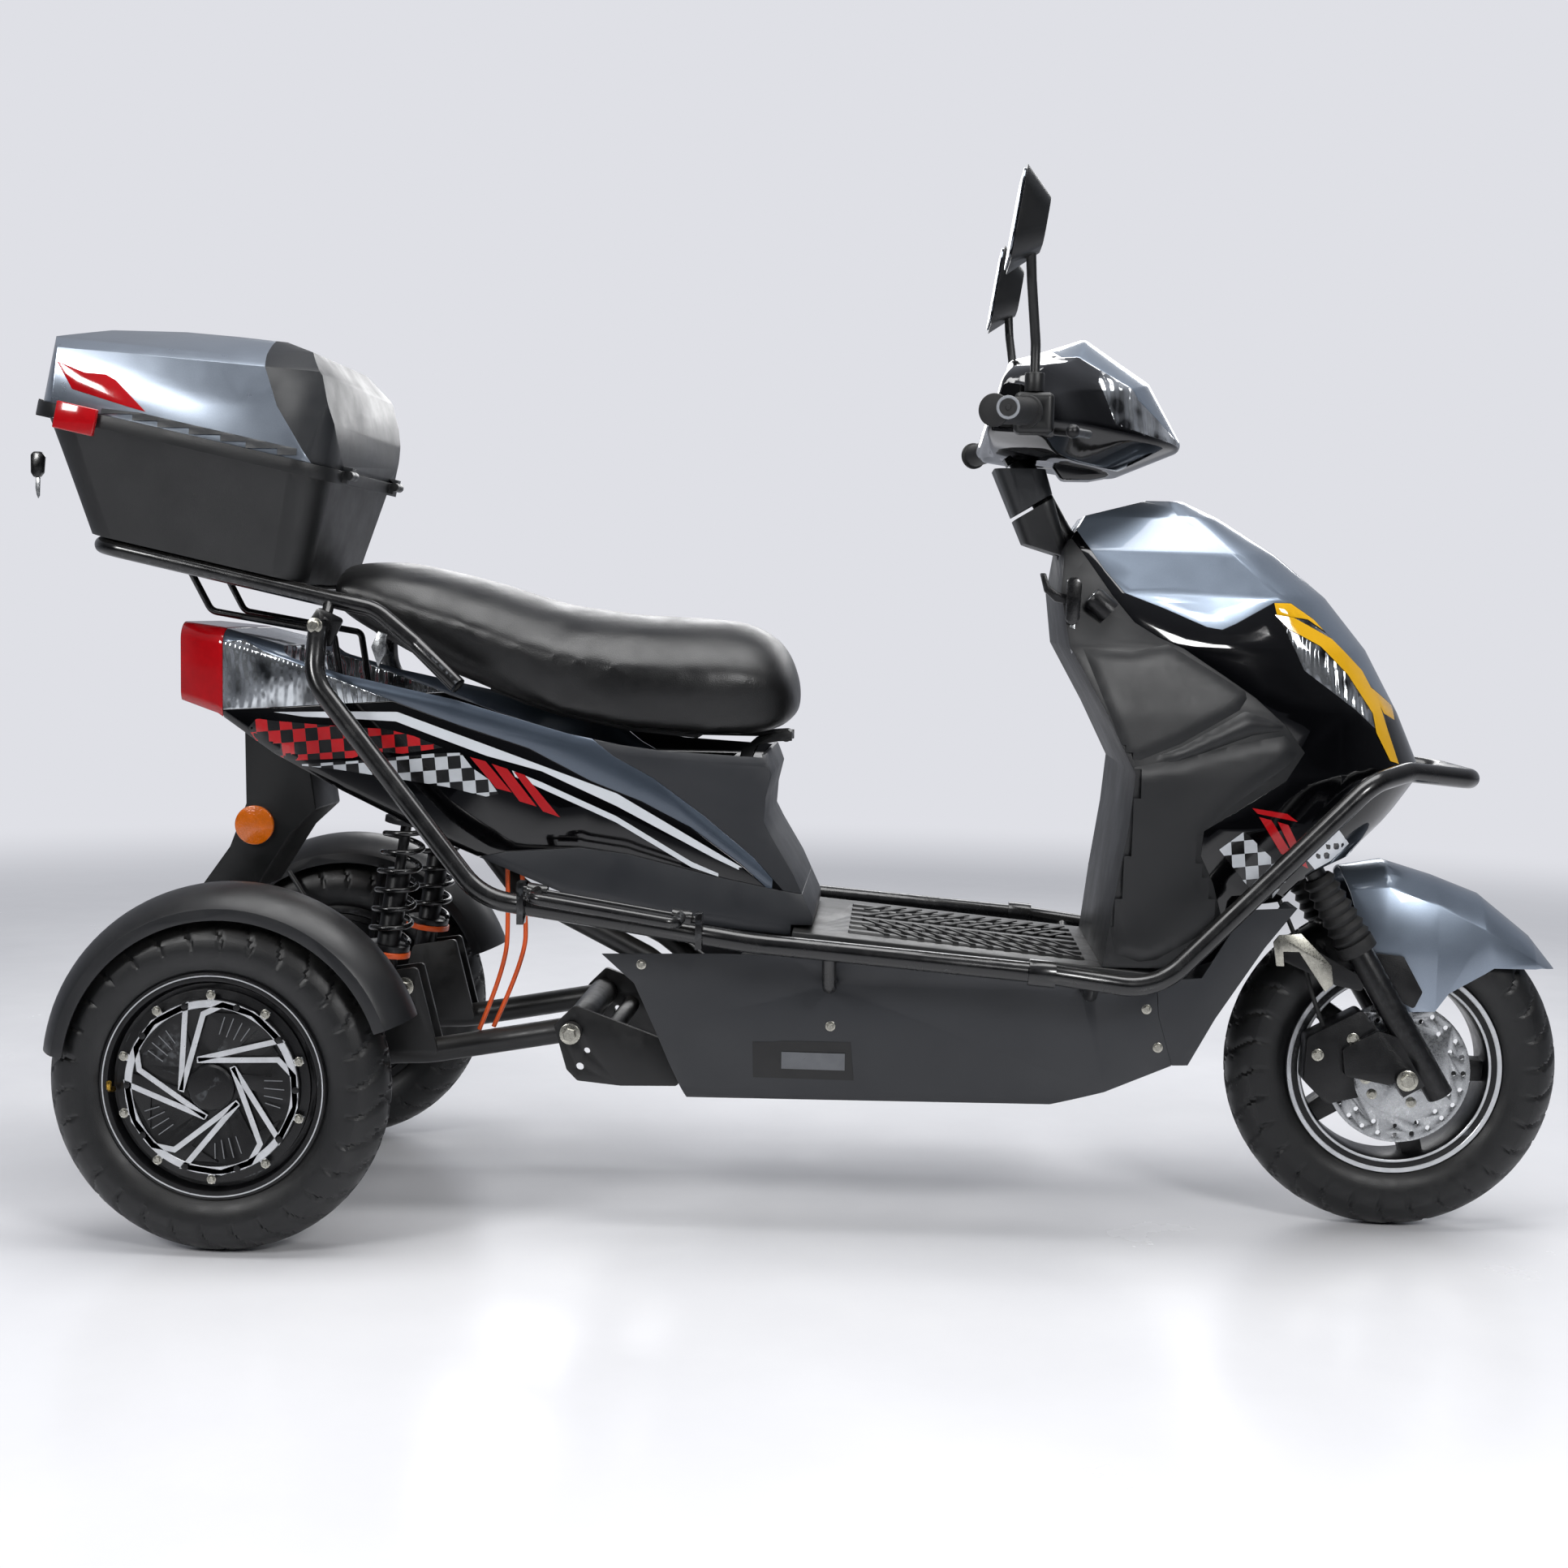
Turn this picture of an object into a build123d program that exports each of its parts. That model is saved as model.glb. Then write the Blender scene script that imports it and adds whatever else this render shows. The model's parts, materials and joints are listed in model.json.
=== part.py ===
from build123d import *
from math import radians, sin, cos, tan
import os

# Electric passenger tricycle: one steered front wheel, two rear hub-motor wheels, a bench seat,
# a leg shield with headlamps, tube guards, and a top box on a rack.
# Millimetres.  The model is laid out from the rear axle (X forward, Y left, Z up from the ground)
# and every piece is moved at the end so that X = 0 is the middle of the overall length.

# Driving dimensions: wheels and stance
wheelbase = 1475.0
rear_half_track = 290.0
front_tyre_r = 215.0
rear_tyre_r = 210.0
tyre_half_w = 45.0
rim_r = 139.0            # outer edge of the rim flange
bead_r = 133.0           # where the tyre sits on the rim
rim_half_w = 36.0
flange_t = 3.0
seat_gap = 0.3           # clearance between pieces that lie on each other
run_gap = 0.05           # radial clearance of a shaft in its bore
wall = 4.0               # moulded body panels
seam = 0.3               # gap between neighbouring body panels

# Driving dimensions: steering
rake = 31.0
head_x = 1035.0          # a point of the steering axis
head_z = 885.0
leg_offset = 62.0        # fork legs ahead of the steering axis
axle_offset = 32.0       # front axle ahead of the steering axis
axle_drop = 801.0        # front axle below the head point, along the axis
leg_half_gap = 80.0      # fork legs from the wheel's mid plane
leg_r = 17.0
stem_r = 15.0
front_axle_r = 6.0
rear_axle_r = 10.0

# Driving dimensions: body
footboard_half = 172.0
belly_half = 192.0
body_half = 150.0        # tail and under-seat panels
guard_half = 251.0       # guard tubes beside the footboard
guard_r = 12.5
rack_half = 138.0
rack_r = 11.0
box_half = 195.0         # top box, across the lid's foot
box_tilt = 12.0
box_x = -100.0           # middle of the top box's rim
box_z = 1006.0
key_reach = 247.0        # tip of the key behind the middle of the rim
key_low = 19.0           # and below it

rear_reach = key_reach * cos(radians(box_tilt)) + key_low * sin(radians(box_tilt)) - box_x

to_middle = Pos((rear_reach - wheelbase - front_tyre_r) / 2, 0, 0)
steer = Plane(
    origin=(head_x, 0, head_z),
    x_dir=(cos(radians(rake)), 0, sin(radians(rake))),
    z_dir=(-sin(radians(rake)), 0, cos(radians(rake))),
)
os.makedirs("parts", exist_ok=True)


def write(node, *shapes):
    """Move the pieces of one node to the common origin and write them as one STEP file."""
    solids = [s for shape in shapes for s in shape.solids()]
    moved = [to_middle * s for s in solids]
    export_step(moved[0] if len(moved) == 1 else Compound(children=moved), f"parts/{node}.step")


def both(*shapes):
    """The right-hand pieces and their mirror images on the left."""
    return [s for shape in shapes for s in (shape, mirror(shape, about=Plane.XZ))]


def side_plane(y):
    return Plane(origin=(0, y, 0), x_dir=(1, 0, 0), z_dir=(0, -1, 0))


def side_block(outline, y_low, y_high, radius=0.0):
    """A closed (x, z) outline, its corners rounded, carried across from y_low to y_high."""
    line = FilletPolyline(*outline, radius=radius, close=True) if radius else Polyline(*outline, close=True)
    return extrude(side_plane(y_high) * make_face(line), y_high - y_low)


def tube(points, radius, bends):
    """A round bar along straight runs joined by bends of the given radii."""
    path = FilletPolyline(*points, radius=bends) if len(points) > 2 else Line(*points)
    start = path % 0
    return sweep(Plane(origin=path @ 0, z_dir=start) * Circle(radius), path=path)


def round_bar(a, b, radius):
    span = Vector(*b) - Vector(*a)
    return Plane(origin=a, z_dir=span) * Cylinder(radius, span.length, align=(Align.CENTER, Align.CENTER, Align.MIN))


def across(x, z, radius, y_low, y_high):
    """A round bar lying across the vehicle."""
    return round_bar((x, y_low, z), (x, y_high, z), radius)


def ring_of(shape, count, x, z, start=0.0):
    """Copies of a piece turned about an axle through (x, z)."""
    about = Axis((x, 0, z), (0, 1, 0))
    return [shape.rotate(about, start + 360.0 * i / count) for i in range(count)]


# Wheels
def tyre(half_w, outer_r):
    shoulder = (half_w - 2, outer_r - 30)
    foot = rim_half_w - flange_t - seat_gap
    side = ThreePointArc((foot, rim_r + 1), (half_w, (rim_r + outer_r) / 2 - 8), shoulder)
    outer = side + ThreePointArc(shoulder, (0, outer_r), (-shoulder[0], shoulder[1])) + mirror(side, about=Plane.YZ)
    inner = Polyline((foot, rim_r + 1), (foot, bead_r + seat_gap), (-foot, bead_r + seat_gap), (-foot, rim_r + 1))
    return revolve(Plane.YZ * make_face(outer + inner), Axis.Y)


def rim_barrel(depth):
    """The rim's barrel: a well between two flanges, `depth` thick."""
    outline = Polyline(
        (-rim_half_w, rim_r), (-rim_half_w + flange_t, rim_r), (-rim_half_w + flange_t, bead_r),
        (rim_half_w - flange_t, bead_r), (rim_half_w - flange_t, rim_r), (rim_half_w, rim_r),
        (rim_half_w, bead_r - depth + 4), (rim_half_w - 10, bead_r - depth), (-rim_half_w + 10, bead_r - depth),
        (-rim_half_w, bead_r - depth + 4), close=True,
    )
    return revolve(Plane.YZ * make_face(outline), Axis.Y)


def lying_disc(radius, y_low, y_high):
    return across(0, 0, radius, y_low, y_high)


spoke_count = 5
front_hub_r = 34.0


def front_rim():
    hub = lying_disc(front_hub_r, -42, 42)
    spoke_outline = [(-19, 20), (19, 20), (13, bead_r - 12), (-13, bead_r - 12)]
    spoke = side_block(spoke_outline, -16, 16, 3)
    body = rim_barrel(14)
    for piece in [hub] + ring_of(spoke, spoke_count, 0, 0, 20):
        body += piece
    body -= lying_disc(front_axle_r + run_gap, -60, 60)
    return body


disc_r = 93.0
disc_y = -53.0


def brake_disc():
    """Friction ring with two rows of holes, and the carrier that bolts to the hub."""
    disc = lying_disc(disc_r, disc_y - 2, disc_y + 2)
    disc += lying_disc(56, disc_y - 3, disc_y + 3) + lying_disc(30, disc_y - 3, -42 - seat_gap)
    for row_r, count, hole_r in [(84, 24, 3.2), (72, 16, 3.2)]:
        hole = Pos(0, 0, row_r) * lying_disc(hole_r, disc_y - 5, disc_y + 5)
        for h in ring_of(hole, count, 0, 0):
            disc -= h
    return disc - lying_disc(front_axle_r + 2, -70, -40)


motor_r = 119.0
cover_r = 108.0


def hub_motor():
    """Rim and drum of one rear wheel, its outer face towards -Y, with the six swirl blades of its cover."""
    drum = lying_disc(bead_r - 6, -24, 34) + lying_disc(motor_r, -30, 40) + lying_disc(46, 30, 48)
    cover = lying_disc(cover_r, -36, -28) + lying_disc(22, -41, -34)
    ring = lying_disc(cover_r, -39, -35) - lying_disc(cover_r - 9, -45, -30)
    blade_outline = [(18, 34), (62, 78), (40, 90), (-8, 92), (24, 72), (4, 40)]
    blade = side_block(blade_outline, -39, -35)
    body = rim_barrel(8) + drum + cover + ring
    for b in ring_of(blade, 6, 0, 0):
        body += b
    bolt = Pos(0, 0, cover_r - 4.5) * lying_disc(4, -42, -38)
    for b in ring_of(bolt, 10, 0, 0, 18):
        body += b
    return body - lying_disc(rear_axle_r + run_gap, -20, 60)


front_place = Pos(wheelbase, 0, front_tyre_r)
rear_place = Pos(0, -rear_half_track, rear_tyre_r)

write("front_tyre", front_place * tyre(tyre_half_w, front_tyre_r))
write("front_rim", front_place * front_rim())
write("brake_disc", front_place * brake_disc())

rear_tyre = rear_place * tyre(tyre_half_w, rear_tyre_r)
rear_motor = rear_place * hub_motor()
for side, (tyre_piece, motor_piece) in zip(("right", "left"), zip(both(rear_tyre), both(rear_motor))):
    write(f"rear_tyre_{side}", tyre_piece)
    write(f"rear_hub_motor_{side}", motor_piece)


# Fork: stem, yoke, two legs, and the axle they hold
leg_bottom = -846.0
boot_low, boot_high = -632.0, -522.0
yoke_s = -490.0          # along the steering axis
yoke_low, yoke_high = yoke_s - 14, yoke_s + 14
stem_top = 132.0
mud_half = 60.0          # front mudguard


def fork():
    body = round_bar((0, 0, yoke_low), (0, 0, stem_top), stem_r) + round_bar((0, 0, yoke_low), (0, 0, yoke_high + 16), 24)
    body += Pos(leg_offset / 2, 0, yoke_s) * Box(leg_offset, 44, yoke_high - yoke_low)
    body += Pos(leg_offset, 0, yoke_s) * Box(40, 2 * leg_half_gap, yoke_high - yoke_low)
    for y in (-leg_half_gap, leg_half_gap):
        body += round_bar((leg_offset, y, yoke_low), (leg_offset, y, yoke_high), 21)
        body += round_bar((leg_offset, y, boot_low), (leg_offset, y, yoke_low), 13)
        body += round_bar((leg_offset, y, leg_bottom), (leg_offset, y, boot_low), leg_r)
        body += Pos((leg_offset + axle_offset) / 2, y, -axle_drop) * Box(leg_offset - axle_offset + 26, 24, 44)
    body = steer * body + across(wheelbase, front_tyre_r, front_axle_r, -108, 108)
    for y0, y1, r in [(-104, -90, 12), (90, 104, 12), (-70, -58.5, 10), (43, 70, 10)]:
        body += across(wheelbase, front_tyre_r, r, y0, y1)
    mud_lug = side_block([(1428, 372), (1474, 368), (1500, 322), (1490, 300), (1452, 318)], -mud_half - 6,
                         -mud_half - seat_gap, 4)
    caliper_lug = side_block([(1396, 250), (1440, 275), (1480, 262), (1485, 215), (1455, 205), (1400, 215)], -92,
                             caliper_out - seat_gap, 6)
    hose_lug = side_block([(1305, 366), (1320, 382), (1346, 382), (1425, 339), (1418, 324), (1385, 331)], -84, -78, 4)
    return body + both(mud_lug) + caliper_lug + hose_lug


def boot(y):
    """A rubber gaiter: a stack of ridges that widens towards the slider."""
    ridges = 7
    pitch = (boot_high - boot_low - 16) / ridges
    body = round_bar((leg_offset, y, boot_low + seat_gap), (leg_offset, y, boot_low + 16), 25)
    for i in range(ridges):
        low = boot_low + 16 + i * pitch
        middle_r = 25.5 - 0.7 * i
        for z0, z1, r0, r1 in [
            (low, low + pitch / 2, middle_r - 4, middle_r),
            (low + pitch / 2, low + pitch, middle_r, middle_r - 4.3),
        ]:
            body += Pos(leg_offset, y, (z0 + z1) / 2) * Cone(r0, r1, z1 - z0)
    return body - round_bar((leg_offset, y, boot_low), (leg_offset, y, boot_high), 13 + seat_gap)


caliper_out = -84.0
write("fork", fork())
write("fork_boots", *[steer * boot(y) for y in (-leg_half_gap, leg_half_gap)])

caliper = side_block(
    [(1352, 262), (1420, 300), (1448, 268), (1436, 190), (1380, 176), (1350, 205)], caliper_out, -44, 8
) - front_place * lying_disc(62, -100, -30)
caliper -= front_place * lying_disc(disc_r + 3, disc_y - 3.5, disc_y + 3.5)
write("brake_caliper", caliper)

hose = [(1323, -50, 486.4), (1297.3, -50, 471), (1340, -62, 384), (1360, -68, 310), (1374.85, -68, 275.1)]
hose_bends = [14, 80, 40]
print("brake hose bend radii", hose_bends)
write("brake_hose", tube(hose, 3, hose_bends))


# Front mudguard: an arched shell over the tyre, with a skirt on each side
mud_low = [(1659, 352), (1592, 354), (1535, 320), (1518, 296), (1477, 294), (1425, 385)]


def mudguard():
    """Sections across the vehicle, each an arch: x, lowest z, shoulder z, crown z, half width."""
    sections = [
        (1400, 380, 448, 477, 52), (1454, 280, 455, 487, mud_half), (1519, 280, 432, 468, mud_half),
        (1580, 300, 402, 445, 59), (1647, 340, 362, 392, 46), (1682, 338, 342, 350, 14),
    ]

    def arches(inset):
        faces = []
        for x, low, shoulder, crown, half in sections:
            w = half - inset
            outline = (
                Line((-w, low), (-w, shoulder - inset))
                + ThreePointArc((-w, shoulder - inset), (0, crown - inset), (w, shoulder - inset))
                + Line((w, shoulder - inset), (w, low))
                + Line((w, low), (-w, low))
            )
            faces.append(Plane(origin=(x, 0, 0), x_dir=(0, 1, 0), z_dir=(1, 0, 0)) * make_face(outline))
        return loft(faces, ruled=True)

    shell = arches(0) - arches(3)
    keep = side_block([(1390, 500), (1700, 500), (1700, 345)] + mud_low, -90, 90)
    return shell & keep


write("front_mudguard", mudguard())


# Handlebar with its cowl, controls and mirrors
grip_out = (919, 350, 1029)
grip_in = (968, 246, 1038)


def bar_points(side):
    return [(p[0], side * p[1], p[2]) for p in (grip_in, grip_out)]


bar = tube([bar_points(-1)[1], bar_points(-1)[0], (985, -120, 1032), (985, 120, 1032), bar_points(1)[0],
            bar_points(1)[1]], 11, [60, 60, 60, 60])
clamp_low = stem_top + seat_gap
clamp = steer * (Pos(16, 0, (clamp_low + 168) / 2) * Box(68, 46, 168 - clamp_low))
write("handlebar", bar + clamp)


def along(side, start, end):
    """Two points of the grip's line, `start` and `end` millimetres in from its outer end."""
    a, b = (Vector(*p) for p in reversed(bar_points(side)))
    way = (b - a).normalized()
    return tuple(a + way * start), tuple(a + way * end)


grips = []
for side in (-1, 1):
    a, b = along(side, -4, 102)
    inner_a, inner_b = along(side, 0, 130)
    grip = round_bar(a, b, 16)
    for start in (-4, 96):
        grip += round_bar(*along(side, start, start + 6), 19)
    grips.append(grip - round_bar(inner_a, inner_b, 11 + seat_gap))
write("grips", *grips)


cowl_half = 206.0
# Across the cowl: y, then x and z of its rear top, peak, brow, nose, under side and low rear, corner radius
cowl_rows = [
    (0, (950, 1122), (1046, 1154), (1130, 1097), (1178, 1013), (1094, 978), (926, 1000), 11),
    (58, (948, 1120), (1042, 1138), (1121, 1090), (1164, 1014), (1090, 979), (923, 1001), 11),
    (118, (945, 1112), (1018, 1112), (1074, 1078), (1106, 1022), (1052, 984), (918, 1004), 11),
    (cowl_half * 0.87, (938, 1094), (974, 1090), (1006, 1066), (1020, 1032), (996, 1004), (914, 1012), 10),
    (cowl_half, (934, 1076), (958, 1074), (976, 1058), (982, 1034), (968, 1016), (920, 1018), 8),
]


def cowl_section(y, outline, radius):
    face = Plane(origin=(0, y, 0), x_dir=(1, 0, 0), z_dir=(0, -1, 0)) * make_face(Polyline(*outline, close=True))
    return fillet(face.vertices(), radius)


def cowl_block():
    """Handlebar cowl, lofted across from one grip to the other."""
    right = [cowl_section(-y, outline, radius) for y, *outline, radius in reversed(cowl_rows)]
    left = [cowl_section(y, outline, radius) for y, *outline, radius in cowl_rows[1:]]
    return loft(right + left)


cowl = cowl_block()
hump_region = side_block([(995, 1140), (1011, 1121), (1038, 1106), (1062, 1093), (1112, 1066), (1158, 1026),
                          (1182, 1002), (1240, 1010), (1200, 1200), (1000, 1200)], -92, 92)
lamp_region = side_block([(1056, 1088), (1066, 1130), (1200, 1040), (1200, 1008), (1130, 1022), (1078, 1034)],
                         -240, 240)
bar_room = tube([along(-1, 90, 100)[0], bar_points(-1)[0], (985, -120, 1032), (985, 120, 1032), bar_points(1)[0],
                 along(1, 90, 100)[0]], 11 + seat_gap, [60, 60, 60, 60])
stem_room = steer * round_bar((0, 0, 20), (0, 0, 134), stem_r + seat_gap)
clamp_room = steer * (Pos(16, 0, 150) * Box(69, 47, 38))
cowl = cowl - bar_room - stem_room - clamp_room
write("cowl_hump", cowl & hump_region)
write("cowl_black", cowl - hump_region - lamp_region)
write("cowl_lamps", (cowl & lamp_region) - hump_region)

# The steering column's cover: a still neck on the leg shield and, above it, a part that turns
column_low = Plane(origin=(1004, 0, 880), x_dir=(1, 0, -0.3), z_dir=(0.3, 0, 1)) * RectangleRounded(64, 84, 16)
column_high = Plane(origin=(966, 0, 984), x_dir=(1, 0, 0), z_dir=(0, 0, 1)) * RectangleRounded(66, 116, 20)
column = loft([column_low, column_high])
turn_line = 72.0         # along the steering axis
still_space = steer * (Pos(0, 0, turn_line - 305) * Box(900, 400, 600))
turning_space = steer * (Pos(0, 0, turn_line + 300) * Box(900, 400, 600))
neck = (column & still_space) - steer * round_bar((0, 0, -60), (0, 0, 134), stem_r + 6)
turning = (column & turning_space) - steer * round_bar((0, 0, -60), (0, 0, 134), stem_r + seat_gap)
write("column_cover", turning - cowl_block() - clamp_room)


pod_y = 228.0
pod_x, pod_z = 970.5, 1037.0


def lever(side):
    blade = tube([(997.1, side * 232, 1016), (1036, side * 262, 1010), (1008, side * 352, 1006)], 5, [24])
    return blade + Pos(1008, side * 352, 1006) * Sphere(8)


def pod(side):
    block = Pos(pod_x, side * pod_y, pod_z) * Box(48, 30, 50)
    return fillet(block.edges(), 8) - tube([bar_points(side)[1], bar_points(side)[0], (985, side * 120, 1032)],
                                           11 + seat_gap, [60])


write("brake_levers", lever(-1), lever(1))
write("switch_pods", pod(-1), pod(1))

mirror_y = 266.0
mirror_x, mirror_z = 942.0, 1257.0


def mirror_set(side):
    foot = (pod_x, side * pod_y, pod_z + 25 + seat_gap)
    stem = tube([foot, (pod_x, side * pod_y, 1120), (mirror_x + 20, side * (mirror_y - 8), 1190),
                 (mirror_x + 16, side * mirror_y, mirror_z)], 6, [30, 20])
    head = Plane(origin=(mirror_x, side * mirror_y, mirror_z), x_dir=(0, 1, 0), z_dir=(-0.97, 0, 0.15))
    shell = loft([head.offset(-34) * RectangleRounded(86, 56, 20), head * RectangleRounded(150, 112, 30)])
    glass = extrude(head.offset(seat_gap) * RectangleRounded(140, 102, 26), 3)
    return stem + round_bar(foot, (pod_x, side * pod_y, pod_z + 48), 12) + shell, glass


right_mirror, right_glass = mirror_set(-1)
write("mirrors", *both(right_mirror))
write("mirror_glass", *both(right_glass))


# Frame
rail_half = 95.0
rail_r = 14.0
tail_rail_half = 70.0
arm_pivot = (409, 254)
floor_rail_z = 268.0
floor_slope = tan(radians(5.1))
board_t = 14.0
shock_y = 117.0
shock_top = (192, 548)
shock_foot = (155, 300)
arm_half = 120.0         # swing-arm tubes


def floor_z(x):
    return 379.0 - (x - 870.0) * floor_slope


def board_seat(x):
    return floor_z(x) - board_t - seat_gap


def frame():
    head = steer * round_bar((0, 0, -456), (0, 0, -280), 26)
    down = tube([(1205, 0, 568), (1150, 0, 470), (1120, 0, floor_rail_z)], 20, [60])
    body = head + down + across(1120, floor_rail_z, 18, -rail_half, rail_half)
    for side in (-1, 1):
        y, tail_y = side * rail_half, side * tail_rail_half
        body += tube([(1120, y, floor_rail_z), (600, y, floor_rail_z), (500, y, 345), (330, y, 430),
                      (190, tail_y, 600), (-30, tail_y, 690)], rail_r, [60, 60, 60, 60])
        body += round_bar((500, y, 345), (455, y, 238), rail_r)
        body += side_block([(650, floor_rail_z), (1095, floor_rail_z), (1095, board_seat(1095)), (650, board_seat(650))],
                           y - 7, y + 7)
        body += side_block([(172, 600), (215, 600), (206, 534), (178, 534)], tail_y - 6, tail_y + 6)
        low, high = sorted((tail_y, side * (shock_y + 18)))
        body += across(*shock_top, 6, low, high)
        low, high = sorted((side * 60, side * 148))
        plate = side_block(pivot_outline, side * 145 - 4, side * 145 + 4, 6)
        body += plate + across(448, 236, 12, low, high)
    for x, z in [(430, 380), (190, 600), (0, 678)]:
        body += across(x, z, 12, -tail_rail_half - 20, tail_rail_half + 20)
    body += across(448, 236, 12, -148, 148)
    body -= across(*arm_pivot, 8 + seat_gap, -200, 200)
    for x, z, r in [(429, 230, 4.2), (420, 209, 5.2)]:
        body -= across(x, z, r, -200, -138) + across(x, z, r, 138, 200)
    return body - steer * round_bar((0, 0, -500), (0, 0, -250), stem_r + run_gap)


pivot_outline = [(386, 262), (412, 288), (470, 268), (548, 240), (548, 188), (473, 186), (417, 191), (403, 205)]
write("main_frame", frame())


def swing():
    """Swing arm with its pivot tube and bolt, axle plates, axle stubs and the shock absorbers' feet."""
    body = across(*arm_pivot, 19, -138, 138) + across(*arm_pivot, 8, -160, 160)
    for y in (-arm_half, arm_half):
        body += tube([(arm_pivot[0] - 10, y, arm_pivot[1] - 3), (220, y, 218), (60, y, 210)], 16, [200])
    body += side_block([(24, 234), (86, 234), (86, 190), (24, 190)], -226, 226, 6)
    foot_x, foot_z = shock_foot
    for side in (-1, 1):
        low, high = sorted((side * 214, side * 226))
        body += side_block([(-26, 240), (60, 240), (60, 184), (-26, 184)], low, high, 8)
        for at in (shock_y - 19, shock_y + 19):
            body += side_block([(118, 214), (235, 216), (206, 330), (146, 320)], side * at - 3, side * at + 3, 6)
        low, high = sorted((side * (shock_y - 19), side * (shock_y + 19)))
        body += across(foot_x, foot_z, 6, low, high)
        low, high = sorted((side * (shock_y + 19), side * (shock_y + 30)))
        body += across(192, 306, 11, low, high)
        low, high = sorted((side * 196, side * (rear_half_track - 14)))
        body += across(0, rear_tyre_r, rear_axle_r, low, high)
        low, high = sorted((side * 203, side * 236))
        body += across(0, rear_tyre_r, 17, low, high)
        low, high = sorted((side * 150, side * 162))
        body += across(*arm_pivot, 14, low, high)
    return body


write("swing_arm", swing())


# Rear shock absorbers
def shock_point(share, y):
    return (shock_foot[0] + (shock_top[0] - shock_foot[0]) * share, y,
            shock_foot[1] + (shock_top[1] - shock_foot[1]) * share)


def shock_body(y):
    body = round_bar(shock_point(0.0, y), shock_point(0.62, y), 15)
    body += round_bar(shock_point(0.5, y), shock_point(1.0, y), 7)
    body += round_bar(shock_point(0.2, y), shock_point(0.23, y), 28)
    body += round_bar(shock_point(0.86, y), shock_point(0.89, y), 28)
    for x, z in (shock_foot, shock_top):
        body += across(x, z, 14, y - 14, y + 14)
        body -= across(x, z, 6 + seat_gap, y - 20, y + 20)
    return body


def shock_spring(y):
    low, high = shock_point(0.232, y), shock_point(0.858, y)
    span = Vector(*high) - Vector(*low)
    coil = Helix(pitch=(span.length - 8) / 6, height=span.length - 8, radius=25)
    wire = sweep(Plane(origin=coil @ 0, z_dir=coil % 0) * Circle(3.6), path=coil, is_frenet=True)
    return Plane(origin=low, z_dir=span) * (Pos(0, 0, 4) * wire)


def spring_seat(y):
    ring = round_bar(shock_point(0.17, y), shock_point(0.199, y), 30)
    return ring - round_bar(shock_point(0.1, y), shock_point(0.3, y), 15 + seat_gap)


for node, piece in [("shock_bodies", shock_body), ("shock_springs", shock_spring), ("spring_seats", spring_seat)]:
    write(node, piece(-shock_y), piece(shock_y))


# Rear fenders, arched strips over the wheels, and the arms that hold them
fender_x, fender_z, fender_r = 17.0, 220.0, 236.0
fender_half = 56.0
fender_drop = 26.0


def fender():
    def strip(inset):
        w = fender_half - inset
        arc = ThreePointArc((-w, fender_r - fender_drop - inset * 0.2), (0, fender_r - inset),
                            (w, fender_r - fender_drop - inset * 0.2))
        floor = Polyline((w, fender_r - fender_drop - inset * 0.2), (w, 100), (-w, 100),
                         (-w, fender_r - fender_drop - inset * 0.2))
        return make_face(arc + floor)

    face = strip(0) - strip(3) - Pos(0, 100) * Rectangle(200, 2 * (fender_r - fender_drop - 14 - 100))
    arc_from, arc_to = 19.0, 173.0
    section = Plane(origin=(0, 0, 0), x_dir=(0, 1, 0), z_dir=(1, 0, 0)) * face
    start = section.rotate(Axis.Y, 90 - arc_from)
    strip_solid = revolve(start, Axis((0, 0, 0), (0, -1, 0)), revolution_arc=arc_to - arc_from)
    body = Pos(fender_x, -rear_half_track, fender_z) * strip_solid
    inner_y = fender_half - rear_half_track
    body += across(42, 228, 9, -235, -226 - seat_gap)
    for angle in (76, 116):
        tip = (fender_x + (fender_r - fender_drop - 8) * cos(radians(angle)), inner_y - 1.5,
               fender_z + (fender_r - fender_drop - 8) * sin(radians(angle)))
        body += round_bar((42, -230.6, 228), tip, 4)
    return body


write("rear_fenders", *both(fender()))


# Footboard, belly and lower front
board_rear, board_front = 690.0, 1150.0
footboard = side_block(
    [(board_rear, floor_z(board_rear)), (board_front, floor_z(board_front)),
     (board_front, floor_z(board_front) - board_t), (board_rear, floor_z(board_rear) - board_t)],
    -footboard_half, footboard_half,
)
for y in range(-120, 121, 40):
    footboard += side_block(
        [(760, floor_z(760) + 3), (1060, floor_z(1060) + 3), (1060, floor_z(1060) - 3), (760, floor_z(760) - 3)],
        y - 8, y + 8,
    )
footboard -= Pos(1145, 0, 350) * Box(96, 60, 120)
write("footboard", footboard)

belly_low = [(452, 362), (493, 325), (519, 266), (537, 223), (559, 176), (1019, 183), (1086, 202), (1168, 239)]
belly_top = [(1149, 303), (1145, board_seat(1145)), (board_rear + 10, board_seat(board_rear + 10)), (688, 366), (600, 366)]
belly_floor = 187.0      # top of the belly's floor


def trough(half, low_half, low, inset):
    """Cross-section of the belly: a wide top, sides that lean in, rounded lower corners."""
    outline = [(-half + inset, 520), (half - inset, 520), (low_half - inset, low), (-low_half + inset, low)]
    face = make_face(Polyline(*outline, close=True))
    face = fillet(face.vertices().sort_by(Axis.Y)[:2], 30 - inset)
    return extrude(Plane(origin=(300, 0, 0), x_dir=(0, 1, 0), z_dir=(1, 0, 0)) * face, 1200)


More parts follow.
